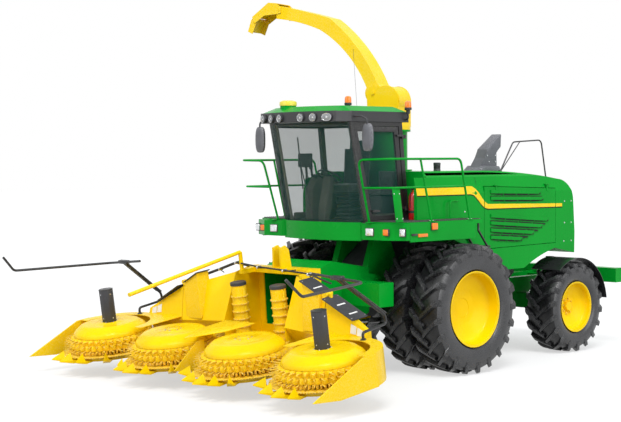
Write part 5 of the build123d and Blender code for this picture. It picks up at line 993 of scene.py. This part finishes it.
ambers = Shape()
for side in (1, -1):
    add_blocks(ambers, (
        ((1.352, 1.29, FENDER_LAMP_Z), (0.024, 0.105, 0.085), 0.008, AMBER),
        ((1.342, 1.29, FENDER_LAMP_Z), (0.03, 0.125, 0.105), 0.008, CHARCOAL),
    ), side)
for x, y, z in ((1.286, 0.5, 3.912), (0.475, 0.94, 3.845)):
    spot = at(x, y, z)
    ambers.add(lathe([(0.03, -0.03), (0.03, 0.02), (0.052, 0.024), (0.055, 0.058), (0.048, 0.062)], spot, Z,
                     28), BLACK)
    ambers.add(lathe([(0.049, 0.06), (0.05, 0.085), (0.048, 0.125), (0.04, 0.148), (0.02, 0.158),
                      (0.0001, 0.16)],
                     spot, Z, 28), AMBER)
ambers.add(tube([(0.475, 0.855, 3.72), (0.475, 0.94, 3.74), (0.475, 0.94, 3.85)], 0.013, 0.03), BLACK)
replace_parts(ambers.make("beacons_and_signals", "machine", "amber_plastic"), "amber_lamps")


# Cab: receiver cap, trims, wiper and the operator's place
cab = Shape()
cab.add(lathe([(0.128, 0.0), (0.13, 0.04), (0.122, 0.062), (0.08, 0.078), (0.0001, 0.082)],
              at(1.7, -0.33, 3.945), Z, 36),
        RECEIVER)
cab.make("receiver_cap", "machine", "yellow_paint")

inner = Shape()
# Steering column, console, monitor and the wheel
inner.add(prism([(1.25, 2.242), (1.35, 2.242), (1.345, 2.45), (1.232, 2.905), (1.15, 2.885), (1.205, 2.45)],
                at(0, 0.075, 0), X, Z, 0.15, 0.012), TRIM)
inner.add(prism([(0.6, 2.242), (1.2, 2.242), (1.2, 2.7), (1.08, 2.88), (0.7, 2.88), (0.6, 2.74)],
                at(0, -0.345, 0), X, Z, 0.165, 0.02), TRIM)
add_blocks(inner, (
    ((0.93, -0.43, 2.905), (0.34, 0.11, 0.05), 0.02, INSIDE),
    ((1.145, -0.43, 3.04), (0.05, 0.05, 0.07), 0.018, BLACK),
    ((1.225, -0.47, 3.14), (0.045, 0.28, 0.21), 0.012, CHARCOAL),
    ((1.2, -0.47, 3.14), (0.004, 0.24, 0.17), 0.002, DARK_AND_SHADE),
))
inner.add(tube([(1.12, -0.43, 2.9), (1.14, -0.43, 3.02)], 0.017, 0), BLACK)
inner.add(tube([(1.19, -0.47, 2.86), (1.21, -0.47, 3.05)], 0.018, 0), BLACK)
wheel_axis = Vector((-sin(radians(30)), 0, cos(radians(30))))
hub = at(1.175, 0, 2.9)
side_axis = wheel_axis.cross(Y).normalized()
ring_points = [hub + (Y * cos(2 * pi * k / 36) + side_axis * sin(2 * pi * k / 36)) * 0.186 for k in range(37)]
inner.add(pipe(ring_points, 0.0145, 0, 10), BLACK)
for k in range(3):
    a = 2 * pi * k / 3 + pi / 2
    inner.add(pipe([hub, hub + (Y * cos(a) + side_axis * sin(a)) * 0.18], 0.011, 0, 8), BLACK)
inner.add(lathe([(0.0001, -0.02), (0.052, -0.018), (0.055, 0.0), (0.045, 0.016), (0.0001, 0.02)], hub,
                wheel_axis, 28),
          CHARCOAL)
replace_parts(inner.make("cab_controls", "machine", "dark_plastic"), "controls")

trim = Shape()
for side in (1, -1):
    # Inner post covers and sill
    for x_low, x_high, depth in ((1.19, 1.5, 0.045), (0.375, 0.525, 0.085)):
        trim.add(prism([(x_low, 2.245), (x_low + depth, 2.245), (x_high + depth, 3.68), (x_high, 3.68)],
                       at(0, side * 0.779 + 0.01, 0), X, Z, 0.02, 0.004), PALE_TRIM if x_low > 1 else TRIM)
    trim.add(block(at(0.8, side * 0.765, 2.3), (0.75, 0.05, 0.1), 0.015), TRIM)
# Ceiling, rear panel and floor mat
add_blocks(trim, (
    ((1.02, 0, 3.672), (1.02, 1.52, 0.03), 0.01, TRIM),
    ((0.448, 0, 2.48), (0.012, 1.44, 0.42), 0.004, TRIM),
    ((0.86, 0, 2.2465), (0.8, 1.4, 0.01), 0.003, CHARCOAL),
))
trim.make("cab_trim", "machine", "dark_plastic")


# Seat: crowned cushions with sewn channels on a folded stand
def cushion(size, centre, axes, crown, name):
    """A padded block: crowned faces, pulled-in sides and sewn channels."""
    work = bmesh.new()
    bmesh.ops.create_cube(work, size=1.0)
    bmesh.ops.subdivide_edges(work, edges=work.edges[:], cuts=15, use_grid_fill=True)
    for v in work.verts:
        a, b, c = v.co.x * 2, v.co.y * 2, v.co.z * 2
        corner = (abs(a) ** 6 + abs(b) ** 6 + abs(c) ** 6) ** (1 / 6)
        soft = 0.8 + 0.2 * (1.0 / max(corner, 1.0))
        a, b = a * soft * (1 - 0.03 * (1 - b * b)), b * soft * (1 - 0.03 * (1 - a * a))
        rise = crown * (1 - a * a) * (1 - b * b)
        channel = 0.0
        for line in (-0.52, 0.52):
            channel -= 0.012 * max(0.0, 1 - abs(b - line) / 0.07)
        for line in (-0.25, 0.25):
            if abs(b) < 0.52:
                channel -= 0.008 * max(0.0, 1 - abs(a - line) / 0.07)
        lift = (rise + channel) if c > 0 else -rise * 0.2
        v.co = Vector((a * size[0] / 2, b * size[1] / 2, c * soft * size[2] / 2 + lift))
    shape = Shape()
    shape.add(turned(from_bmesh(work), axes_matrix(centre, *axes)), FABRIC)
    piece = shape.make(name, "machine", "seat_fabric", 80.0)
    return piece


seat_stand = Shape()
for level, wide in ((2.27, 0.34), (2.33, 0.3), (2.39, 0.32), (2.45, 0.29), (2.51, 0.31), (2.57, 0.28),
                    (2.62, 0.32)):
    seat_stand.add(block(at(0.76, 0, level), (wide, wide - 0.02, 0.058), 0.02), CHARCOAL)
add_blocks(seat_stand, (
    ((0.79, 0, 2.655), (0.46, 0.46, 0.03), 0.012, BLACK),
    ((0.65, 0.56, 2.43), (0.276, 0.256, 0.37), 0.02, CHARCOAL),
))
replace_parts(seat_stand.make("seat_stand", "machine", "dark_plastic"), "seat")
back_up = Vector((-0.055, 0, 1)).normalized()
LEAN = (back_up, Y, back_up.cross(Y) * -1)
for name, size, place, axes, crown, fill in (
    ("seat_cushion", (0.5, 0.5, 0.105), (0.795, 0, 2.722), (X, Y, Z), 0.02, 0.8),
    ("seat_back", (0.56, 0.46, 0.095), (0.597, 0, 3.035), LEAN, 0.016, 0.8),
    ("seat_headrest", (0.14, 0.26, 0.075), (0.578, 0, 3.365), LEAN, 0.008, 0.9),
    ("second_seat_cushion", (0.33, 0.31, 0.085), (0.66, 0.56, 2.665), (X, Y, Z), 0.012, 0.8),
    ("second_seat_back", (0.29, 0.31, 0.058), (0.522, 0.56, 2.83), (Z, Y, X), 0.008, 0.8),
):
    cushion(size, at(*place), axes, crown, name)


# Outside of the cab: wiper and aerial
out = Shape()
out.add(tube([(1.44, -0.1, 2.3), (1.5, -0.12, 2.6), (1.585, -0.22, 3.15)], 0.008, 0.05), BLACK)
out.add(tube([(1.5, -0.235, 2.72), (1.625, -0.215, 3.48)], 0.01, 0), BLACK)
out.add(pipe([sp(0.5, 4.86, 0.192), at(1.02, 0.42, 3.93)], 0.0025, 0, 6), BLACK)
out.make("wiper_and_aerial", "machine", "black_paint")

# Fire extinguisher on the walkway, with its bracket
BOTTLE_FOOT = at(0.385, 0.96, 2.252)
store = Shape()
store.add(lathe([(0.07, 0.0), (0.074, 0.012), (0.074, 0.335), (0.06, 0.385), (0.03, 0.408), (0.018, 0.412),
                 (0.018, 0.44),
                 (0.0001, 0.44)], BOTTLE_FOOT, Z, 32), RED)
store.add(block(at(0.395, 0.96, 2.715), (0.1, 0.024, 0.03), 0.006), BLACK)
store.add(tube([(0.385, 0.96, 2.7), (0.43, 0.96, 2.7), (0.462, 0.96, 2.62), (0.462, 0.96, 2.42)], 0.007,
               0.03), BLACK)
store.add(lathe([(0.0755, 0.1), (0.0755, 0.14)], BOTTLE_FOOT, Z, 32), BLACK)
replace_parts(store.make("fire_bottle", "machine", "dark_plastic"), "extinguisher")


# Stalk guides: a stay with two flat straps, and the long bent tube
STAY = ((-0.64, 2.36, -0.033), (-0.64, 2.36, 0.06), (-1.096, 2.36, 0.082), (-1.08, 2.36, 0.2),
        (-0.392, 2.26, 0.822))
LOOP = ((-0.367, 1.83, 0.861), (-0.417, 2.68, 0.784), (1.007, 3.07, 0.928), (1.186, 3.02, 1.163))
for side_name, side in SIDES:
    guide = Shape()
    for run in (STAY, LOOP):
        guide.add(pipe([hd(u, side * v, w) for u, v, w in run], 0.019, 0.1, 14), BLACK)
    guide.add(lathe([(0.04, -0.002), (0.04, 0.01), (0.022, 0.022)], hd(-0.64, side * 2.36, -0.035),
                    HEADER_W, 20), BLACK)
    guide.add(block(hd(-0.392, side * 2.26, 0.826), (0.07, 0.2, 0.055), 0.008, HEADER_AXES), BLACK)
    for v in (2.2, 2.32):
        guide.add(pipe([hd(-1.05, side * (v + 0.1), 0.235), hd(-0.41, side * v, 0.805)], 0.01, 0, 8), BLACK)
    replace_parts(guide.make(f"guide_tube_{side_name}", f"fold_wing_{side_name}", "black_paint"),
                f"stalk_guide_{side_name}")

BOX_FACES = ((0, 1, 3, 2), (4, 6, 7, 5), (0, 4, 5, 1), (1, 5, 7, 3), (3, 7, 6, 2), (2, 6, 4, 0))

# Black wear plates with pale slots over the humps, and bare label plates
WING_HUMP = (1.511, ((-0.87, 0.4), (-0.76, -0.09)), 2.3, ((-0.8, 0.03), (-0.765, -0.06)))


def label_plate(side, v_low, v_high, low, high):
    """A thin bare plate on the front face of the wing's hump."""
    verts = []
    for v in (v_low, v_high):
        share = (v - WING_HUMP[0]) / (WING_HUMP[2] - WING_HUMP[0])
        top, foot = [[a + (b - a) * share for a, b in zip(p, q)] for p,
                     q in zip(WING_HUMP[1], WING_HUMP[3])]
        for place in (low, high):
            u, w = [a + (b - a) * place for a, b in zip(top, foot)]
            for lift in (0.006, 0.002):
                verts.append(hd(u + lift * 1.3, side * v, w + lift * 0.3))
    return verts, BOX_FACES


def slope(u, v, side, lift):
    """A point over the black plate's slope."""
    return hd(u, side * v, 0.425 - (v - 1.511) * 0.485 + lift)


def slope_sheet(u_rear, u_front, v_in, v_out, side, lift, thick):
    """A flat sheet on the slope."""
    verts = [slope(u, v, side, lift - depth) for depth in (0.0, thick) for v in (v_in,
                                                                                 v_out) for u in (u_rear,
                                                                                                  u_front)]
    return verts, BOX_FACES


for side_name, side in SIDES:
    crest = Shape()
    foot = [hd(u, side * v, w) for v in (1.08, 1.42) for u, w in ((-1.05, 0.2), (-0.785, -0.05))]
    roof = [slope(u, v, side, 0.0) for v in (1.12, 1.42) for u in (-1.05, -0.83)]
    crest.add((roof + foot, BOX_FACES), YELLOW)
    crest.add(slope_sheet(-1.065, -0.8, 1.09, 1.425, side, 0.013, 0.012), CHARCOAL)
    crest.add(slope_sheet(-1.01, -0.85, 1.3, 1.32, side, 0.0145, 0.003), WHITE)
    add_bolts(crest, [slope(u, 1.13, side, 0.013) for u in (-1.045, -0.825)], HEADER_W, 0.01, 0.006)
    crest.make(f"crest_cover_{side_name}", "feeder", "yellow_paint")
    plate = Shape()
    plate.add(slope_sheet(-1.065, -0.77, 1.53, 2.06, side, 0.013, 0.012), CHARCOAL)
    for v in (1.72, 1.93):
        plate.add(slope_sheet(-1.0, -0.85, v, v + 0.022, side, 0.0145, 0.003), WHITE)
    spots = [slope(u, v, side, 0.013) for u in (-1.045, -0.795) for v in (1.56, 2.03)]
    add_bolts(plate, spots, HEADER_W, 0.01, 0.006)
    plate.add(label_plate(side, 2.0, 2.1, 0.25, 0.75), WHITE)
    plate.add(label_plate(side, 2.12, 2.22, 0.25, 0.8), WHITE)
    plate.make(f"wear_plate_{side_name}", f"fold_wing_{side_name}", "black_paint")

# Hoses clipped along the header's rear, with bright clamps
hose_run = [(-1.2, v, w) for v, w in ((-1.4, 0.5), (-0.98, 0.62), (-0.6, 0.735), (-0.13, 0.69),
                                      (0.4, 0.665), (0.9, 0.64),
                                       (1.3, 0.53))]
hoses = Shape()
for shift in (0.0, 0.035):
    hoses.add(pipe([hd(u + shift, v, w + shift * 0.4) for u, v, w in hose_run], 0.012, 0.12, 10), HOSE)
for u, v, w in hose_run[1:-1]:
    hoses.add(block(hd(u + 0.018, v, w + 0.004), (0.085, 0.028, 0.04), 0.006, HEADER_AXES), STEEL)
    foot_u, foot_w = (-1.24, 0.56) if abs(v) > 0.65 else (-1.43, 0.63)
    hoses.add(pipe([hd(u + 0.018, v, w - 0.01), hd(foot_u, v, foot_w)], 0.008, 0, 8), BLACK)
hoses.make("header_hoses", "feeder", "black_paint")

# Raised cover between the inner rotors
deck = Shape()
deck.add(prism([(-0.62, -0.3), (-0.1, -0.26), (0.3, -0.055), (0.42, 0.0), (0.3, 0.055), (-0.1, 0.26),
                (-0.62, 0.3)],
               hd(0, 0, 0.02), HEADER_U, Y, 0.014, 0.004), YELLOW)
deck.make("centre_cover", "feeder", "yellow_paint")


# Floor, lights and the white surroundings
FLOOR_SIZE = 120.0
FLOOR_GREY = 0.4
FLOOR_GLOW = 0.58
SKY_STRENGTH = 0.6


def shown(tree):
    """1 for what is looked at, straight on, through a pane or in a mirror."""
    path = add_node(tree, "LightPath")
    rays = [path.outputs[f"Is {kind} Ray"] for kind in ("Camera", "Transmission", "Glossy")]
    return maths(tree, "MAXIMUM", maths(tree, "MAXIMUM", rays[0], rays[1]), rays[2])


def make_surroundings():
    scene.world = bpy.data.worlds.new("studio")
    tree = empty_tree(scene.world)
    plain = add_node(tree, "Background", {0: (0.93, 0.96, 1.0, 1.0), 1: SKY_STRENGTH})
    seen = add_node(tree, "Background", {0: (1.0, 1.0, 1.0, 1.0), 1: 1.0})
    blend = add_node(tree, "MixShader", {0: shown(tree), 1: plain.outputs[0], 2: seen.outputs[0]})
    add_node(tree, "OutputWorld", {0: blend.outputs[0]})

    material = bpy.data.materials.new("studio_floor")
    tree = empty_tree(material)
    base = add_node(tree, "BsdfDiffuse", {0: (FLOOR_GREY, FLOOR_GREY, FLOOR_GREY, 1.0)})
    glow = add_node(tree, "Emission", {"Strength": maths(tree, "MULTIPLY", shown(tree), FLOOR_GLOW)})
    total = add_node(tree, "AddShader", {0: base.outputs[0], 1: glow.outputs[0]})
    add_node(tree, "OutputMaterial", {0: total.outputs[0]})
    size = FLOOR_SIZE
    mesh = bpy.data.meshes.new("floor")
    mesh.from_pydata([(-size, -size, 0), (size, -size, 0), (size, size, 0), (-size, size, 0)], [],
                     [(0, 1, 2, 3)])
    mesh.materials.append(material)
    floor = bpy.data.objects.new("floor", mesh)
    scene.collection.objects.link(floor)
    for name, direction, strength, angle in (("key", (-0.55, -0.5, -1.0), 1.9, 25),
                                             ("fill", (-0.9, 0.15, -0.45), 0.8, 50),
                                             ("side", (0.1, -1.0, -0.4), 1.3, 50)):
        data = bpy.data.lights.new(name, "SUN")
        data.energy = strength
        data.angle = radians(angle)
        lamp_object = bpy.data.objects.new(name, data)
        lamp_object.rotation_euler = Vector(direction).to_track_quat("-Z", "Y").to_euler()
        scene.collection.objects.link(lamp_object)


make_surroundings()
